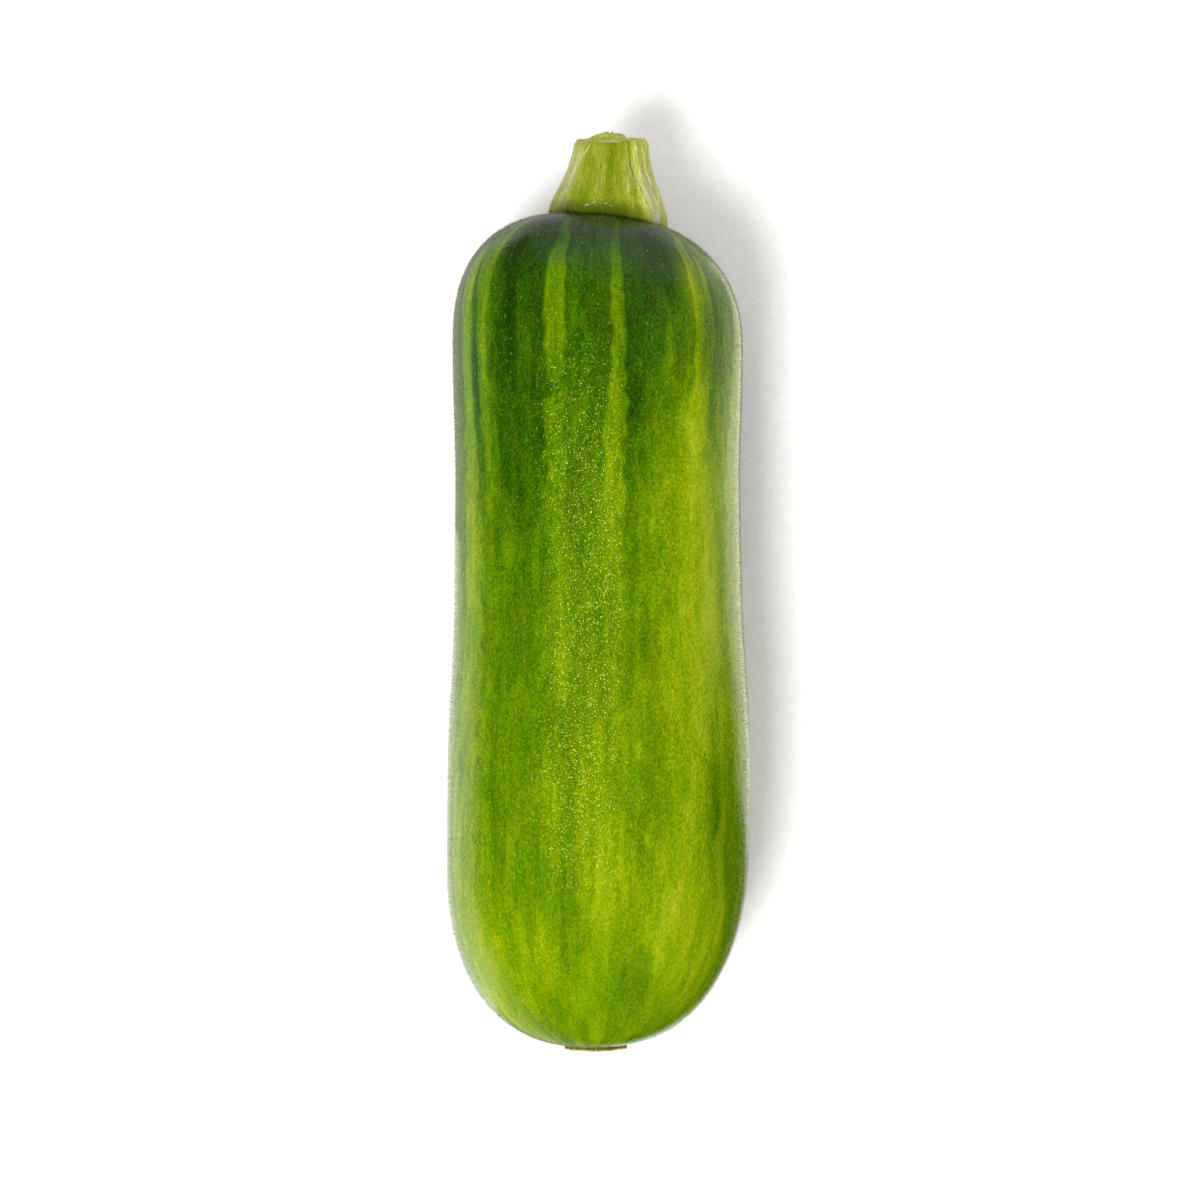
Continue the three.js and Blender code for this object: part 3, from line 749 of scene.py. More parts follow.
def make_stem_tree(material):
    """The stem: first its foot, then its fluted side, then the cut face with the torn core."""
    tree = bpy.data.node_groups.new("stem_shape", "GeometryNodeTree")
    size = float_inputs(tree, STEM_SIZES)
    grid, angle, step = start_wrap(tree, STEM_SEGMENTS, STEM_ROWS)
    foot = between(step * (1 / FOOT_SHARE), 0.0, 1.0)
    side = between((step - FOOT_SHARE) * (1 / SIDE_SHARE), 0.0, 1.0)
    inward = between((step - FOOT_SHARE - SIDE_SHARE) * (1 / (1 - FOOT_SHARE - SIDE_SHARE)), 0.0, 1.0)
    side_share = side ** SIDE_ROW_POWER
    height = side_share * size["Length"]

    lumps = bump_noise(tree, ring(tree, angle, STEM_RADIUS, height), 0.28, 2.0)
    sway = bump_noise(tree, ring(tree, angle, 3.0, height * 0.28), 0.7, 1.0) * FIBRE_SWAY
    swayed = ring(tree, angle + sway, STEM_RADIUS, height * 0.07)
    fibres = bump_noise(tree, swayed, 0.6, 4.0, 0.6) + bump_noise(tree, swayed, 2.1, 2.0, 0.6) * 0.7
    facing = (angle - SMOOTH_SIDE).math("ABSOLUTE")
    fibrous = smoothstep(facing, 0.35, 0.7, 0.3, 1.0)

    turn = (angle - RIB_ANGLE + side_share * RIDGE_TWIST) * float(RIB_COUNT)
    ridge = (cosine(turn) * 0.5 + 0.5) ** RIDGE_SHARPNESS
    spread = size["Foot radius"] - size["Cut radius"]
    flare = (height * (1 / FLARE_LENGTH)) * (height * (-1 / FLARE_LENGTH))
    flared = size["Cut radius"] + spread * flare.math("EXPONENT")
    lip = between(1.0 - height * (1 / LIP_HEIGHT), 0.0, 1.0)
    lip = (1.0 - lip * lip).math("SQRT")
    depth = blend(size["Groove depth at the foot"], size["Groove depth at the cut"], side_share)
    groove = depth * (1.0 - ridge) * ridge_strength(tree, angle)
    flutes = cosine(angle * 15.0 + side_share * 2.0) + cosine(angle * 25.0 + 1.0) * 0.5
    standing = (flared * (1.0 - groove) + size["Flute height"] * flutes * fibrous
                + fibres * fibrous * size["Fibre height"] * 2.0 + lumps * 0.5)
    standing = standing * blend(FOOT_CONTACT_SHARE, 1.0, lip) - smoothstep(side, 0.94, 1.0) * CUT_EDGE_ROUND
    share = foot * (1.0 - inward)
    radius = standing * share

    middle_z = float(axis_z(SHOULDER_POLE_Y, FRUIT_SIZES))
    x = radius * sine(angle) + STEM_X
    z = radius * cosine(angle) + middle_z
    face = combine(tree, x, z, 0.0)
    from_core = x - (STEM_X + CORE_X)
    core_gap = (from_core * from_core + (z - middle_z) * (z - middle_z)).math("SQRT")
    torn_edge = bump_noise(tree, face, 0.32, 1.0) * CORE_RAGGEDNESS + CORE_RADIUS
    torn = smoothstep(torn_edge - core_gap, 0.0, CORE_SLOPE)
    from_cleft = (from_core - CLEFT_X) * (1 / CLEFT_HALF_WIDTH)
    cleft = (from_cleft * from_cleft * -1.0).math("EXPONENT") * CLEFT_DEPTH
    crumbs = (bump_noise(tree, face, 0.5, 3.0, 0.6) * 1.5 * torn
              + bump_noise(tree, face, 2.2, 3.0, 0.6) * (torn * 0.4 + 0.3) - cleft * torn)
    hollow = sine(between((1.0 - share) * (1 / 0.55), 0.0, 1.0) * math.pi) * CUT_HOLLOW
    on_face = smoothstep(inward, 0.0, 0.12)
    cut_relief = (torn * size["Core height"] + crumbs - hollow * (1.0 - share)) * on_face
    rim = bump_noise(tree, swayed, 0.35, 2.0) * 0.7 * smoothstep(side, 0.8, 1.0)

    foot_y = end_y(x, z, 1) - STEM_SINK
    middle = combine(tree, STEM_X, middle_z, 0.0)
    middle_x, middle_up, _ = split(middle)
    cut_y = end_y(middle_x, middle_up, 1) + size["Length"] - (z - middle_z) * CUT_TILT
    along = side_share + (cut_relief + rim) / size["Length"]
    place = combine(tree, (x + along * STEM_LEAN_X) * MM, blend(foot_y, cut_y, along) * MM,
                    (z + along * STEM_LEAN_Z) * MM)
    marked = store_around(tree, grid, angle, height)
    for name, value in (("fibre", fibres * fibrous + 0.5), ("cut", inward), ("torn", torn * on_face)):
        marked = store(tree, marked, name, value)
    close_wrap(tree, marked, place, material)
    return tree


stem_material = bpy.data.materials.new("courgette_stem")
stem_base = bake_tree("stem_base", make_stem_tree(stem_material), sizes=STEM_SIZES)

# %% [markdown]
# The stem has its own marks, drawn like the stripes: a sharp ridge that runs out to the left of the foot, a
# groove down the middle, cracks between the fibres, pale fibres, the thin pale line of the knife's edge and
# a few wet beads at the foot. The pale line on the sharp ridge, the line of the knife's edge and the beads
# are painted highlights, near white. A second, very short tree lifts or sinks the surface along them, so
# that they are real ridges and real cracks.

# %% Marks of the stem
PALE_AND_HIGHLIGHT_LINES = [  # (angle in degrees, height in mm, half width in mm, strength)
    # the sharp left ridge: a real raised ridge with a painted highlight along it
    [(-33, 14.6, 0.08, 0.9), (-46, 12.3, 0.1, 1.0), (-54, 10.6, 0.12, 1.0), (-60, 8.4, 0.12, 1.0),
     (-68, 6.5, 0.1, 0.8), (-71, 3.5, 0.08, 0.6), (-78, 0.8, 0.06, 0.5)],
    [(-72, 9.0, 0.1, 0.5), (-80, 5.0, 0.12, 0.7), (-84, 2.0, 0.1, 0.6)],
    [(-58, 6.0, 0.1, 0.5), (-64, 2.8, 0.12, 0.6)],
    # the knife's edge round the cut: a painted highlight
    [(-28, 15.06, 0.04, 0.5), (-10, 15.06, 0.06, 0.8), (10, 15.06, 0.06, 0.8), (17, 15.06, 0.04, 0.4)],
    # wet beads at the foot, as short painted highlights
    [(-24, 2.0, 0.06, 0.8), (-21.5, 2.15, 0.1, 1.0)],
    [(-18.5, 2.5, 0.04, 0.8), (-15, 2.7, 0.07, 0.9)],
    [(-5, 2.6, 0.06, 0.8), (-3.5, 2.5, 0.09, 0.9)],
    [(0.5, 2.3, 0.03, 0.6), (3.5, 2.1, 0.05, 0.7)],
    [(43, 13.7, 0.12, 0.8), (45, 13.5, 0.14, 0.8)],
    [(31, 12.0, 0.1, 0.4), (36, 8.0, 0.14, 0.6), (44, 5.0, 0.14, 0.7), (48, 2.4, 0.1, 0.5)],
    [(52, 12.0, 0.1, 0.5), (55, 8.0, 0.12, 0.6), (64, 5.0, 0.12, 0.6), (70, 2.0, 0.1, 0.5)],
    [(25, 13.0, 0.1, 0.3), (26, 9.0, 0.12, 0.4), (29, 6.0, 0.1, 0.3)],
]
DEEP_LINES = [
    [(-5, 14.6, 0.3, 0.2), (-4, 12.0, 0.2, 0.5), (-3, 9.0, 0.2, 0.6), (-5, 5.5, 0.2, 0.4),
     (-7, 3.0, 0.2, 0.3)],
    [(42, 13.2, 0.06, 0.6), (46, 8.8, 0.1, 0.9), (54, 6.3, 0.1, 1.0), (59, 4.5, 0.1, 0.9),
     (62, 2.6, 0.06, 0.5)],
    [(29, 11.4, 0.05, 0.5), (34, 8.4, 0.09, 0.9), (39, 5.8, 0.09, 0.9), (40, 3.6, 0.05, 0.5)],
    [(60, 11.0, 0.05, 0.5), (66, 7.0, 0.08, 0.8), (72, 4.0, 0.08, 0.7)],
    [(-28, 13.0, 0.06, 0.4), (-25, 9.6, 0.12, 0.6), (-27, 6.5, 0.06, 0.4)],
    [(-15, 12.6, 0.05, 0.4), (-14, 9.4, 0.1, 0.5), (-14, 7.0, 0.05, 0.3)],
    [(-66, 6.8, 0.05, 0.6), (-70, 4.6, 0.08, 0.8), (-74, 2.6, 0.05, 0.5)],
    [(-52, 7.0, 0.05, 0.4), (-56, 4.6, 0.08, 0.7), (-58, 2.4, 0.05, 0.5)],
]
STEM_MM_PER_DEGREE = 0.16
RIDGE_LIFT, CRACK_DEPTH = 0.12, 0.2
LINE_FADES_FROM, LINE_FADES_TO = -0.06, 0.14  # in mm outside a line's own edge
stem_around = read_points(stem_base.data, "around")
stem_angle = np.degrees(np.arctan2(stem_around[:, 0], stem_around[:, 1]))
stem_height = stem_around[:, 2]
for name, lines in (("pale_and_highlight", PALE_AND_HIGHLIGHT_LINES), ("deep", DEEP_LINES)):
    gap, strength = lay_strokes(lines, stem_angle, stem_height, STEM_MM_PER_DEGREE)
    keep_on_points(stem_base.data, name, smoothstep(gap, LINE_FADES_TO, LINE_FADES_FROM) * strength)
    print(len(lines), name, "lines")

# %% Paleness of the stem, and how dark its foot is
STEM_PALENESS = 0.48
# The spots that pale the sides, round ±45° to ±110°, are partly fibre and partly painted light for sides
# that get little of the lamp.
STEM_SPOTS = [  # angle, height, half width, half length, how much paler
    (-72, 7, 17, 12, 0.45), (-50, 12, 9, 4, 0.2), (-105, 8, 22, 14, 0.3), (46, 9, 15, 9, 0.46),
    (80, 6, 24, 14, 0.5), (58, 2, 18, 4, 0.3), (2, 12.5, 10, 5, -0.3), (-2, 6, 5, 6, -0.14),
    (-32, 10.6, 6, 2, -0.14), (-29, 3.4, 10, 2.5, -0.2), (2, 3.2, 9, 2, -0.2), (-14, 7, 6, 4, 0.1),
    (22, 6, 7, 5, 0.06), (111, 8, 16, 14, 0.3), (183, 8, 16, 14, 0.3), (-148, 8, 14, 14, -0.1),
    (148, 8, 14, 14, -0.1),
]
paleness = np.full(len(stem_height), STEM_PALENESS)
for *spot, paler in STEM_SPOTS:
    paleness += paler * patch(stem_angle, stem_height, *spot)
keep_on_points(stem_base.data, "paleness", paleness)
print("paleness runs from", round(float(paleness.min()), 2), "to", round(float(paleness.max()), 2))

# Where the painted crease shade reaches round the foot: full at the front and left, faint at the back and
# right, where the stem's own shadow falls.
FOOT_DARK_ANGLE, FOOT_DARK_HALF_WIDTH = -14, 52
foot_dark = np.exp(-(turned(stem_angle, FOOT_DARK_ANGLE) / FOOT_DARK_HALF_WIDTH) ** 4)
keep_on_points(stem_base.data, "foot_dark", 0.15 + 0.85 * foot_dark)

# %% Lift the lines, sink the cracks
def named_value(tree, name):
    """A number stored on the mesh, for a tree of Geometry Nodes."""
    node = add_node(tree, "GeometryNodeInputNamedAttribute", {"data_type": "FLOAT"}, Name=name)
    return Wire(node.outputs["Attribute"])


def start_surface(name):
    """A tree that takes a surface, with the surface's Wire."""
    tree = bpy.data.node_groups.new(name, "GeometryNodeTree")
    tree.interface.new_socket("Surface", in_out="INPUT", socket_type="NodeSocketGeometry")
    return tree, Wire(tree.nodes.new("NodeGroupInput").outputs["Surface"])


def make_lift_tree(material):
    """Moves a surface along its normals by two attributes: pale lines up and deep lines down."""
    tree, surface = start_surface("lift")
    lift = named_value(tree, "pale_and_highlight") * RIDGE_LIFT - named_value(tree, "deep") * CRACK_DEPTH
    offset = scaled(add_wire(tree, "GeometryNodeInputNormal"), lift * MM)
    finish_tree(tree, add_wire(tree, "GeometryNodeSetPosition", Geometry=surface, Offset=offset), material)
    return tree


stem_stub = bake_tree("stem_stub", make_lift_tree(stem_material), stem_base.data)
bpy.data.objects.remove(stem_base)

# %% [markdown]
# The stem is pale yellow-green and fibrous. Its sides are nearly white, partly with fibre and partly with
# painted light that makes up for the little lamp light they get; the right one is painted yellower and
# brighter for the lamp's shade on that side. The middle is a softer, deeper green, and the foot darkens to
# olive where it meets the fruit, partly its own olive and partly painted shade in the crease. The cut face
# is paler and wetter, with a yellower torn core, and is painted brighter still to make up for facing away
# from the lamp. Fine noise in its colour and its bumps stands for the down that is too short to model.

# %% Stem material
STEM_PAINTS = [  # (paleness, paint)
    (0.0, (104, 136, 0)), (0.25, (142, 162, 2)), (0.5, (168, 179, 34)), (0.7, (188, 195, 76)),
    (0.85, (204, 208, 116)), (1.0, (222, 224, 160)), (1.25, (240, 240, 214)),
]
tree, shader = nodes_of(stem_material)
around_wire = attribute(tree, "around", "Vector")
towards_right, _, height = split(around_wire)
cut = smoothstep(attribute(tree, "cut"), 0.0, 0.06)
place_mm = place_in_mm(tree)
fine_fibre = grown_noise(around_wire, STEM_RADIUS, 0.14, 3.0, 3.0, 0.7)
blotch = grown_noise(around_wire, STEM_RADIUS, 0.5, 0.6, 3.0)
fuzz = noise_at(tree, place_mm, 3.6, 2.0, 0.7)
paleness = (attribute(tree, "paleness") + (attribute(tree, "fibre") - 0.5) * 0.9 + (fine_fibre - 0.5) * 1.1
            + (blotch - 0.5) * 0.45 + (fuzz - 0.5) * 1.2)
# Painted light: the right side, in the lamp's shade, is made brighter and more saturated.
painted_light_right = smoothstep(towards_right, 0.35, 0.75)
stem_colour = add_wire(tree, "ShaderNodeHueSaturation", Saturation=painted_light_right * 0.2 + 1.0,
                       Value=painted_light_right * 0.36 + 1.0, Color=long_ramp(tree, paleness, STEM_PAINTS))
stem_colour = mix_colour(tree, attribute(tree, "deep") * 0.6, stem_colour, paint(120, 146, 8))
# Painted shade in the crease: the lowest few mm of the foot turn dark olive, partly the foot's own olive
# tone, partly shade painted where the foot meets the fruit.
rough_height = height + (blotch - 0.5) * 1.6 + (fuzz - 0.5) * 1.6
crease_shade_and_olive = smoothstep(rough_height, 4.0, 1.5) * attribute(tree, "foot_dark")
stem_colour = mix_colour(tree, crease_shade_and_olive * 0.95, stem_colour, paint(98, 120, 0))
# Near-white paint along the pale lines: pale fibres, and painted highlights on the sharp ridge, the knife's
# edge and the wet beads.
stem_colour = mix_colour(tree, attribute(tree, "pale_and_highlight") * 0.75, stem_colour, paint(236, 236, 200))
# The cut face is painted paler and brighter: partly its paler flesh, partly painted light that makes up for
# facing away from the lamp.
cut_noise = noise_at(tree, place_mm, 1.3, 4.0, 0.6)
cut_colour = ramp(tree, cut_noise, [(0.3, (178, 192, 20)), (0.5, (236, 240, 96)), (0.68, (255, 254, 180))])
cut_colour = mix_colour(tree, attribute(tree, "torn") * 0.35, cut_colour, paint(230, 238, 72))
stem_colour = mix_colour(tree, cut, stem_colour, cut_colour)
bump_height = (fine_fibre * 0.1 + fuzz * 0.1 + cut_noise * cut * 0.25) * MM
roughness = blend(0.6, 0.4, cut) - attribute(tree, "pale_and_highlight") * 0.25
finish_material(stem_material, stem_colour, bump_height, roughness)
fill(shader, Specular_IOR_Level=0.25)

# %% [markdown]
# ## The flower scar
# Where the flower dropped off, a thin, dry disc is left at the tip, ragged round its edge and dished
# inside it, with the stump of the flower's style in the middle. It is a small copy of the same idea: a
# wrapped grid with a front and a back.

# %% The scar as a tree of nodes
SCAR_SIZES = {"Radius": 6.1, "Thickness": 0.5, "Raggedness": 0.35, "Dish": 0.2, "Style height": 0.3}
SCAR_X, SCAR_STYLE_RADIUS, SCAR_SINK = 0.2, 1.5, 0.25
SCAR_SEGMENTS, SCAR_ROWS, SCAR_FRONT_SHARE = 240, 90, 0.75
SCAR_NOISE_RADIUS = 9.0


def make_scar_tree(material):
    """The scar: its front from the middle to the ragged edge, then its back, which goes into the skin."""
    tree = bpy.data.node_groups.new("scar_shape", "GeometryNodeTree")
    size = float_inputs(tree, SCAR_SIZES)
    grid, angle, step = start_wrap(tree, SCAR_SEGMENTS, SCAR_ROWS)
    front = between(step * (1 / SCAR_FRONT_SHARE), 0.0, 1.0)
    back = between((step - SCAR_FRONT_SHARE) * (1 / (1 - SCAR_FRONT_SHARE)), 0.0, 1.0)
    wave = sine(angle * 5.0 + 0.4) + sine(angle * 9.0 + 2.0) * 0.6 + sine(angle * 14.0) * 0.4
    fray = bump_noise(tree, ring(tree, angle, 6.0, 0.0), 1.6, 3.0, 0.6) * 0.9
    share = front * (1.0 - smoothstep(back, 0.45, 1.0))
    radius = (size["Radius"] + wave * size["Raggedness"] + (fray - 0.2) * 0.8) * share
    x = radius * sine(angle) + float(axis_x(FLOWER_POLE_Y)) + SCAR_X
    z = radius * cosine(angle) + float(axis_z(FLOWER_POLE_Y, FRUIT_SIZES))
    on_skin = end_y(x, z, -1)
    rays = bump_noise(tree, ring(tree, angle, SCAR_NOISE_RADIUS, radius * 0.15), 0.9, 3.0, 0.6)
    dish = sine(share * math.pi)
    dish = dish * dish * size["Dish"]
    style = smoothstep(SCAR_STYLE_RADIUS - radius, 0.0, SCAR_STYLE_RADIUS) * size["Style height"]
    standing = size["Thickness"] - 0.1 - dish + style + rays * 0.5 * share
    front_y = (FLOWER_POLE_Y - standing).math("MINIMUM", on_skin - 0.12)
    y = blend(front_y, on_skin + SCAR_SINK, smoothstep(back, 0.0, 0.45))
    place = combine(tree, x * MM, y * MM, z * MM)
    close_wrap(tree, store_around(tree, grid, angle, radius), place, material)
    return tree


scar_material = bpy.data.materials.new("courgette_scar")
flower_disc = bake_tree("flower_disc", make_scar_tree(scar_material), sizes=SCAR_SIZES)

# %% Scar material
tree, _ = nodes_of(scar_material)
place_mm = place_in_mm(tree)
_, along_y, _ = split(place_mm)
rays = grown_noise(attribute(tree, "around", "Vector"), SCAR_NOISE_RADIUS, 0.2, 1.4, 4.0, 0.65)
crust = noise_at(tree, place_mm, 0.9, 3.0, 0.6)
exposed = smoothstep(along_y + (crust - 0.5) * 0.5, FLOWER_POLE_Y + 0.1, FLOWER_POLE_Y - 0.3)
dryness = exposed * 0.55 + (rays - 0.5) * 0.9 + (crust - 0.5) * 0.7 + 0.25
scar_colour = ramp(tree, dryness, [(0.0, (66, 84, 14)), (0.3, (104, 124, 34)), (0.55, (168, 158, 74)),
                                   (0.75, (232, 190, 112)), (1.0, (250, 222, 176))])
finish_material(scar_material, scar_colour, rays * 0.25 * MM, 0.85)

# %% [markdown]
# ## Hairs and beads
# A young courgette is not bald. Short pale hairs stand on its shoulder, its tip and its stem, and show
# as a fine fringe along the outline. Between them the skin carries thousands of tiny facets, the
# wet-looking beads that catch a lamp for one small spark each. Both are one idea: points spread over a
# surface, and a small cone on each. A cone's length is held back near the sides of the fruit's own box,
# so that nothing stands further out than the plain model does.

# %% How dense and how long, for each point of a surface
BOX_LOW, BOX_HIGH = (Vector(corner) / MM for corner in (cad_low, cad_high))
BOX_SPARE = 0.04


def read_places(mesh):
    """The places of a mesh's points, in millimetres."""
    places = np.zeros(len(mesh.vertices) * 3, np.float32)
    mesh.vertices.foreach_get("co", places)
    return places.reshape(-1, 3) / MM


def keep_room(mesh):
    """Stores how far each point lies inside the plain model's box, in millimetres."""
    places = read_places(mesh)
    room = np.minimum(places - np.array(BOX_LOW), np.array(BOX_HIGH) - places).min(axis=1) - BOX_SPARE
    keep_on_points(mesh, "room", np.maximum(room, 0))

# %% Cones on a surface, as a tree of nodes
CONE_SIDES, SHORTEST_CONE = 3, 0.45  # the shortest is a share of the longest


def make_cone_tree(name, material, sizes, lean, spread, seed):
    """Cones on a surface, as dense per square mm as the attribute of that name says, leaning towards -Y."""
    tree, surface = start_surface(name)
    size = float_inputs(tree, sizes)
    dense = named_value(tree, name) / MM ** 2
    points = add_node(tree, "GeometryNodeDistributePointsOnFaces", Mesh=surface, Density=dense, Seed=seed)
    stray = add_node(tree, "FunctionNodeRandomValue", {"data_type": "FLOAT_VECTOR"}, Seed=seed + 1)
    heading = add_node(tree, "ShaderNodeVectorMath", {"operation": "ADD"})
    feed((-spread, -spread - lean, -spread), stray.inputs[0])
    feed((spread, spread - lean, spread), stray.inputs[1])
    feed(Wire(points.outputs["Normal"]), heading.inputs[0])
    feed(Wire(stray.outputs[0]), heading.inputs[1])
    turn = add_wire(tree, "FunctionNodeAlignRotationToVector", {"axis": "Z"},
                    Rotation=Wire(points.outputs["Rotation"]), Vector=Wire(heading.outputs[0]))
    chance = add_node(tree, "FunctionNodeRandomValue", {"data_type": "FLOAT"}, Seed=seed + 2)
    feed(SHORTEST_CONE, chance.inputs[2])
    feed(1.0, chance.inputs[3])
    luck = Wire(chance.outputs[1])
    cone = add_wire(tree, "GeometryNodeMeshCone", Vertices=CONE_SIDES, Radius_Bottom=size["Radius"] * MM,
                    Radius_Top=0.0, Depth=size["Length"] * MM)
    longest = named_value(tree, "room") / size["Length"]
    scale = combine(tree, luck, luck, luck.math("MINIMUM", longest))
    cones = add_wire(tree, "GeometryNodeInstanceOnPoints", Points=Wire(points.outputs["Points"]),
                     Instance=cone, Rotation=turn, Scale=scale)
    finish_tree(tree, cones, material)
    return tree

# %% Sparks: low facets all over the skin
BEAD_SIZES = {"Radius": 0.17, "Length": 0.014}
bead_material = skin_material.copy()
bead_material.name = "courgette_beads"
tree, shader = nodes_of(bead_material)
for name in ("Roughness", "Normal"):
    tree.links.remove(shader.inputs[name].links[0])
fill(shader, Roughness=0.05, IOR=1.5)

keep_room(fruit_skin.data)
crest = smoothstep(np.abs(turned(angle_deg, -6)), 24, 10) * smoothstep(along_mm, 54, 28)
crest *= smoothstep(along_mm, -58, -46)
off_floor = smoothstep(read_places(fruit_skin.data)[:, 2], 2, 8)
keep_on_points(fruit_skin.data, "beads", (0.45 + 14.5 * crest) * off_floor)
bead_tree = make_cone_tree("beads", bead_material, BEAD_SIZES, 0.0, 0.12, 5)
skin_beads = bake_tree("skin_beads", bead_tree, fruit_skin.data, BEAD_SIZES, smooth=False)

# %% Hairs of the skin and of the stem
HAIR_SIZES = {"Radius": 0.03, "Length": 0.62}
BRISTLE_SIZES = {"Radius": 0.028, "Length": 0.7}


def plain_material(name, colour, roughness):
    """A material of one colour and one roughness."""
    material = bpy.data.materials.new(name)
    _, shader = nodes_of(material)
    fill(shader, Base_Color=colour, Roughness=roughness)
    return material


on_side = smoothstep(np.abs(np.sin(np.radians(angle_deg))), 0.88, 0.97)
hairy = 0.12 + 0.8 * smoothstep(along_mm, 30, 66) + 0.1 * smoothstep(-along_mm, 60, 80) + 4.2 * on_side
under_stem = smoothstep(along_mm, 84, 88)
under_scar = smoothstep(-along_mm, 101, 103)
keep_on_points(fruit_skin.data, "hairs", hairy * off_floor * (1 - under_stem) * (1 - under_scar))
hair_material = plain_material("courgette_hair", paint(206, 210, 160), 0.6)
hair_tree = make_cone_tree("hairs", hair_material, HAIR_SIZES, 0.5, 0.45, 11)
skin_hairs = bake_tree("skin_hairs", hair_tree, fruit_skin.data, HAIR_SIZES)

keep_room(stem_stub.data)
stem_side = smoothstep(np.abs(np.sin(np.radians(stem_angle))), 0.75, 0.95)
left_foot = smoothstep(stem_height, 3.5, 0.8) * smoothstep(-stem_angle, 25, 45)
bristly = 1.6 + 4.0 * stem_side * smoothstep(stem_height, 15, 8) + 9.0 * left_foot
keep_on_points(stem_stub.data, "bristles", bristly)
bristle_material = plain_material("courgette_bristle", paint(240, 240, 186), 0.6)
bristle_tree = make_cone_tree("bristles", bristle_material, BRISTLE_SIZES, 0.3, 0.5, 23)
stem_hairs = bake_tree("stem_hairs", bristle_tree, stem_stub.data, BRISTLE_SIZES)

# %% [markdown]
# ## Studio
# The floor is a big pale sheet, bright enough to wash out to white. The soft light of a white room
# comes from the world, and one soft lamp, high up on the near left, throws the only shadow. Neither
# shows in mirror reflections, because a bright ceiling would lay a grey veil over the green. What the
# skin does mirror is white card, as in a product studio: sheets on the table beside the fruit draw the
# pale bands down its flanks, and one stands behind the shoulder. Some of them fade along one axis, two
# glow as light panels do, and all are seen in reflections only. A second lamp shines on the skin's
# beads alone, and draws their sparks.

# %% Floor, cards, room and lamp
FLOOR_Z, CARD_Z, STRIP_Z, FLOOR_HALF = -0.05, -0.04, -0.03, 6000.0


def make_sheet(name, corners, colour, fade=None):
    """A flat matt sheet of the studio.

    It can fade along an axis: (axis, mm where it is full, mm where it is dark, share left there).
    """
    mesh = bpy.data.meshes.new(name)
    mesh.from_pydata([Vector(corner) * MM for corner in corners], [], [list(range(len(corners)))])
    sheet = bpy.data.objects.new(name, mesh)
    bpy.context.scene.collection.objects.link(sheet)
    material = plain_material(name, colour, 0.9)
    tree, shader = nodes_of(material)
    fill(shader, Specular_IOR_Level=0.0)
    if fade:
        axis, full, dark, share_left = fade
        place = split(Wire(tree.nodes.new("ShaderNodeTexCoord").outputs["Object"]))[axis]
        share = smoothstep(place, full * MM, dark * MM)
        darkened = tuple(value * share_left for value in colour[:3]) + (1.0,)
        fill(shader, Base_Color=mix_colour(tree, share, colour, darkened))
    mesh.materials.append(material)
    return sheet


def make_card(name, corners, brightness, fade=None, glow=0.0):
    """A sheet that only mirror reflections see. It can glow, as a light panel does."""
    card = make_sheet(name, corners, (brightness, brightness, brightness, 1.0), fade)
    _, shader = nodes_of(card.active_material)
    fill(shader, Emission_Color=(1.0, 1.0, 0.5, 1.0), Emission_Strength=glow)
    card.visible_camera = False
    card.visible_diffuse = False
    card.visible_shadow = False
    card.visible_transmission = False


def level(outline, z=CARD_Z):
    """The corners of a level sheet from its outline."""
    return [(x, y, z) for x, y in outline]


def rectangle(x_low, x_high, y_low, y_high):
    """The outline of a rectangle."""
    return [(x_low, y_low), (x_high, y_low), (x_high, y_high), (x_low, y_high)]


floor_outline = rectangle(-FLOOR_HALF, FLOOR_HALF, -FLOOR_HALF, FLOOR_HALF)
floor = make_sheet("floor", level(floor_outline, FLOOR_Z), (0.9, 0.9, 0.89, 1.0))
floor.visible_glossy = False
tree, shader = nodes_of(floor.active_material)
floor_place = Wire(tree.nodes.new("ShaderNodeTexCoord").outputs["Object"])
paper = noise_at(tree, floor_place, 420.0, 3.0, 0.7)
fill(shader, Base_Color=mix_colour(tree, paper, (0.86, 0.845, 0.835, 1.0), (1.0, 0.985, 0.975, 1.0)))
print("the floor is", round(2 * FLOOR_HALF * MM), "m wide")

# %% Cards that only reflections see
LEFT_CARD = [(0, 70), (-92, 70), (-128, 46), (-112, 12), (-145, -20), (-165, -45), (-190, -100),
             (-170, -150), (-100, -142), (-62, -116), (-44, -107), (-30, -96), (0, -92)]
TIP_CARD = [(0, -92), (0, -112), (-14, -130), (-90, -230), (-260, -300), (-300, -200), (-170, -150),
            (-100, -142), (-62, -116), (-44, -107), (-30, -96)]
SHOULDER_CARD = [(0, 70), (-95, 70), (-88, 88), (-60, 108), (-52, 300), (0, 300)]
LOW_CARD = [(0, -16), (74, -16), (73, -36), (66, -43), (50, -50), (40, -60), (35, -72), (33, -80),
            (31, -88), (26, -98), (15, -106), (0, -110)]
RIGHT_PANEL = [(32, 80), (32, -55), (36, -55), (42, -42), (48, -30), (49, 60), (42, 80)]
LEFT_PANEL = [(-32, 12), (-32, -72), (-43, -72), (-46, -40), (-41, 12)]
WALL_Y, WALL_TOP, WALL_FADES_FROM = 300.0, 340.0, 90.0
wall = [(x, WALL_Y, z) for x, z in rectangle(-110.0, 300.0, 0.0, WALL_TOP)]
make_card("left_card", level(LEFT_CARD), 0.9, (1, -35, 12, 0.5))
make_card("shoulder_card", level(SHOULDER_CARD), 0.36)
make_card("strip_card", level(rectangle(-47, -43, 70, 130), STRIP_Z), 1.0)
make_card("tip_card", level(TIP_CARD), 0.25)
make_card("right_card", level(rectangle(0, 74, -16, 300)), 1.0, (1, 36, 80, 0.42))
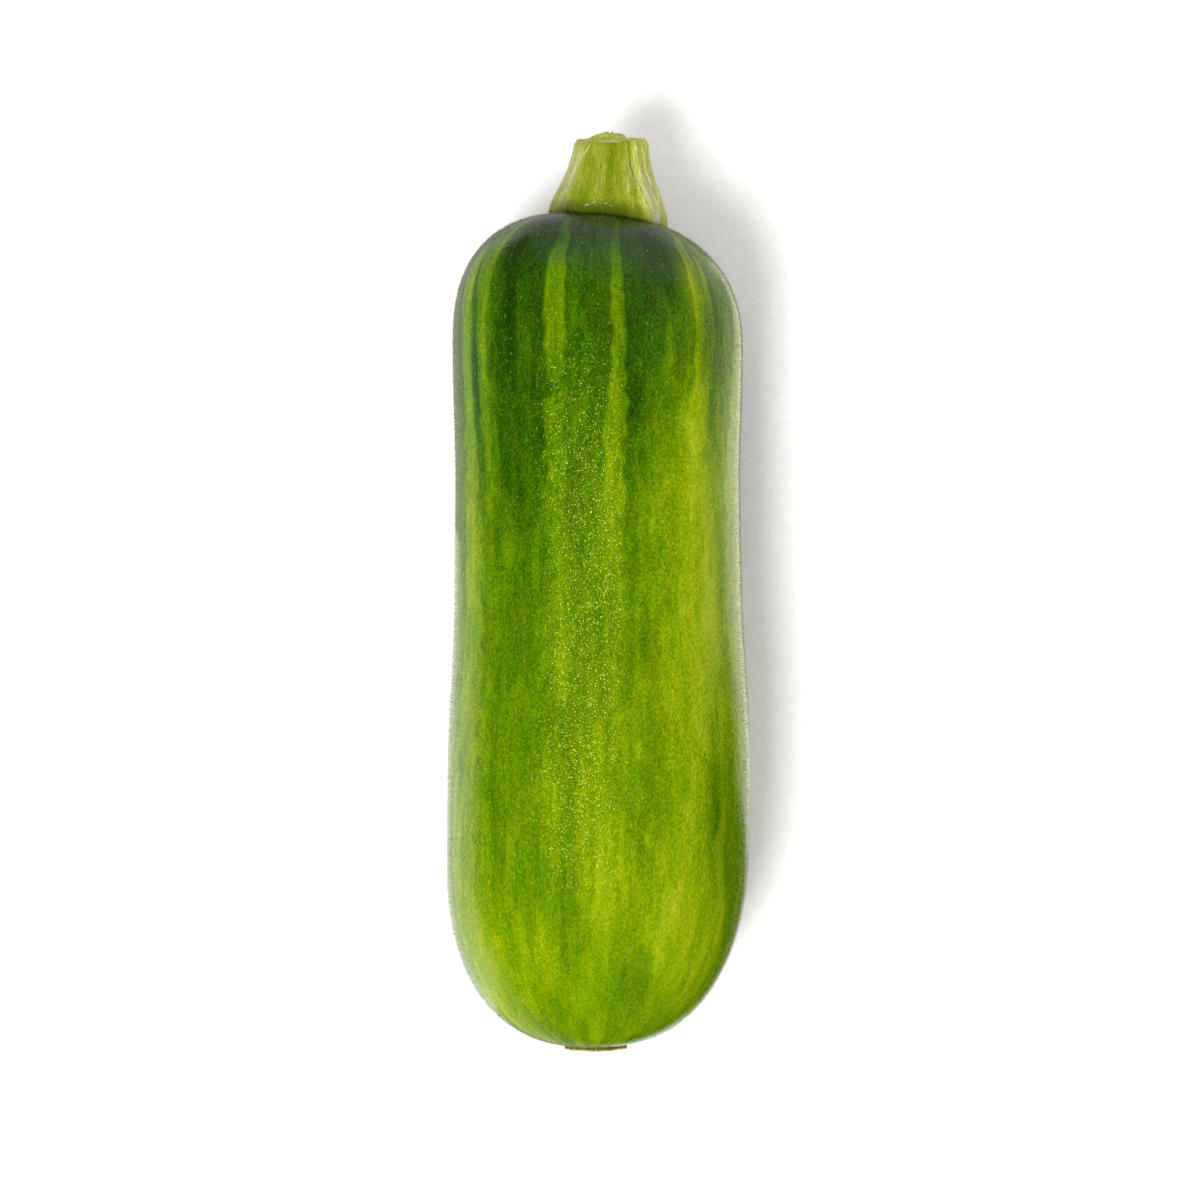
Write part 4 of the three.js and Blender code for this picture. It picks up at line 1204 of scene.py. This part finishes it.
make_card("far_card", level(rectangle(74, 600, -8, 300)), 0.26)
make_card("low_card", level(LOW_CARD), 0.95)
make_card("right_panel", level(RIGHT_PANEL, STRIP_Z), 0.95, glow=0.85)
make_card("left_panel", level(LEFT_PANEL, STRIP_Z), 0.9, glow=0.45)
make_card("wall_card", wall, 0.55, (2, WALL_FADES_FROM, WALL_TOP, 0.0))

# %% Room and lamps
ROOM_LIGHT, LAMP_DISTANCE = 0.88, 1.5
world = bpy.data.worlds.new("room")
bpy.context.scene.world = world
world.use_nodes = True
fill(world.node_tree.nodes["Background"], Color=(1.0, 1.0, 1.0, 1.0), Strength=ROOM_LIGHT)
world.cycles_visibility.glossy = False


def hang_lamp(name, direction, shape, size, power):
    """A soft lamp that shines on the courgette from a direction."""
    light = bpy.data.lights.new(name, "AREA")
    light.shape = shape
    light.size = size
    light.energy = power
    lamp = bpy.data.objects.new(name, light)
    towards = Vector(direction).normalized()
    lamp.location = towards * LAMP_DISTANCE
    lamp.rotation_mode = "QUATERNION"
    lamp.rotation_quaternion = towards.to_track_quat("Z", "Y")
    bpy.context.scene.collection.objects.link(lamp)
    print(name, "hangs", round(lamp.location.z, 2), "m up")
    return lamp


main_lamp = hang_lamp("lamp", (-0.32, -0.40, 1.0), "DISK", 0.6, 22.0)
main_lamp.visible_glossy = False
spark_lamp = hang_lamp("spark_lamp", (-0.2, 0.11, 1.0), "RECTANGLE", 0.8, 19.0)
spark_lamp.data.size_y = 0.17
spark_lamp.data.color = (1.0, 0.92, 0.22)
spark_lamp.visible_diffuse = False
sparkling = bpy.data.collections.new("sparkling")
sparkling.objects.link(skin_beads)
spark_lamp.light_linking.receiver_collection = sparkling

# %% Ride and replace
PIECES = [
    (fruit_skin, "fruit", "skin"), (stem_stub, "stem", "stem"), (flower_disc, "flower_scar", "scar"),
    (skin_beads, None, "skin"), (skin_hairs, None, "skin"), (stem_hairs, None, "stem"),
]
for piece, node, slot in PIECES:
    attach(piece, "root")
    if node:
        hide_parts(node)
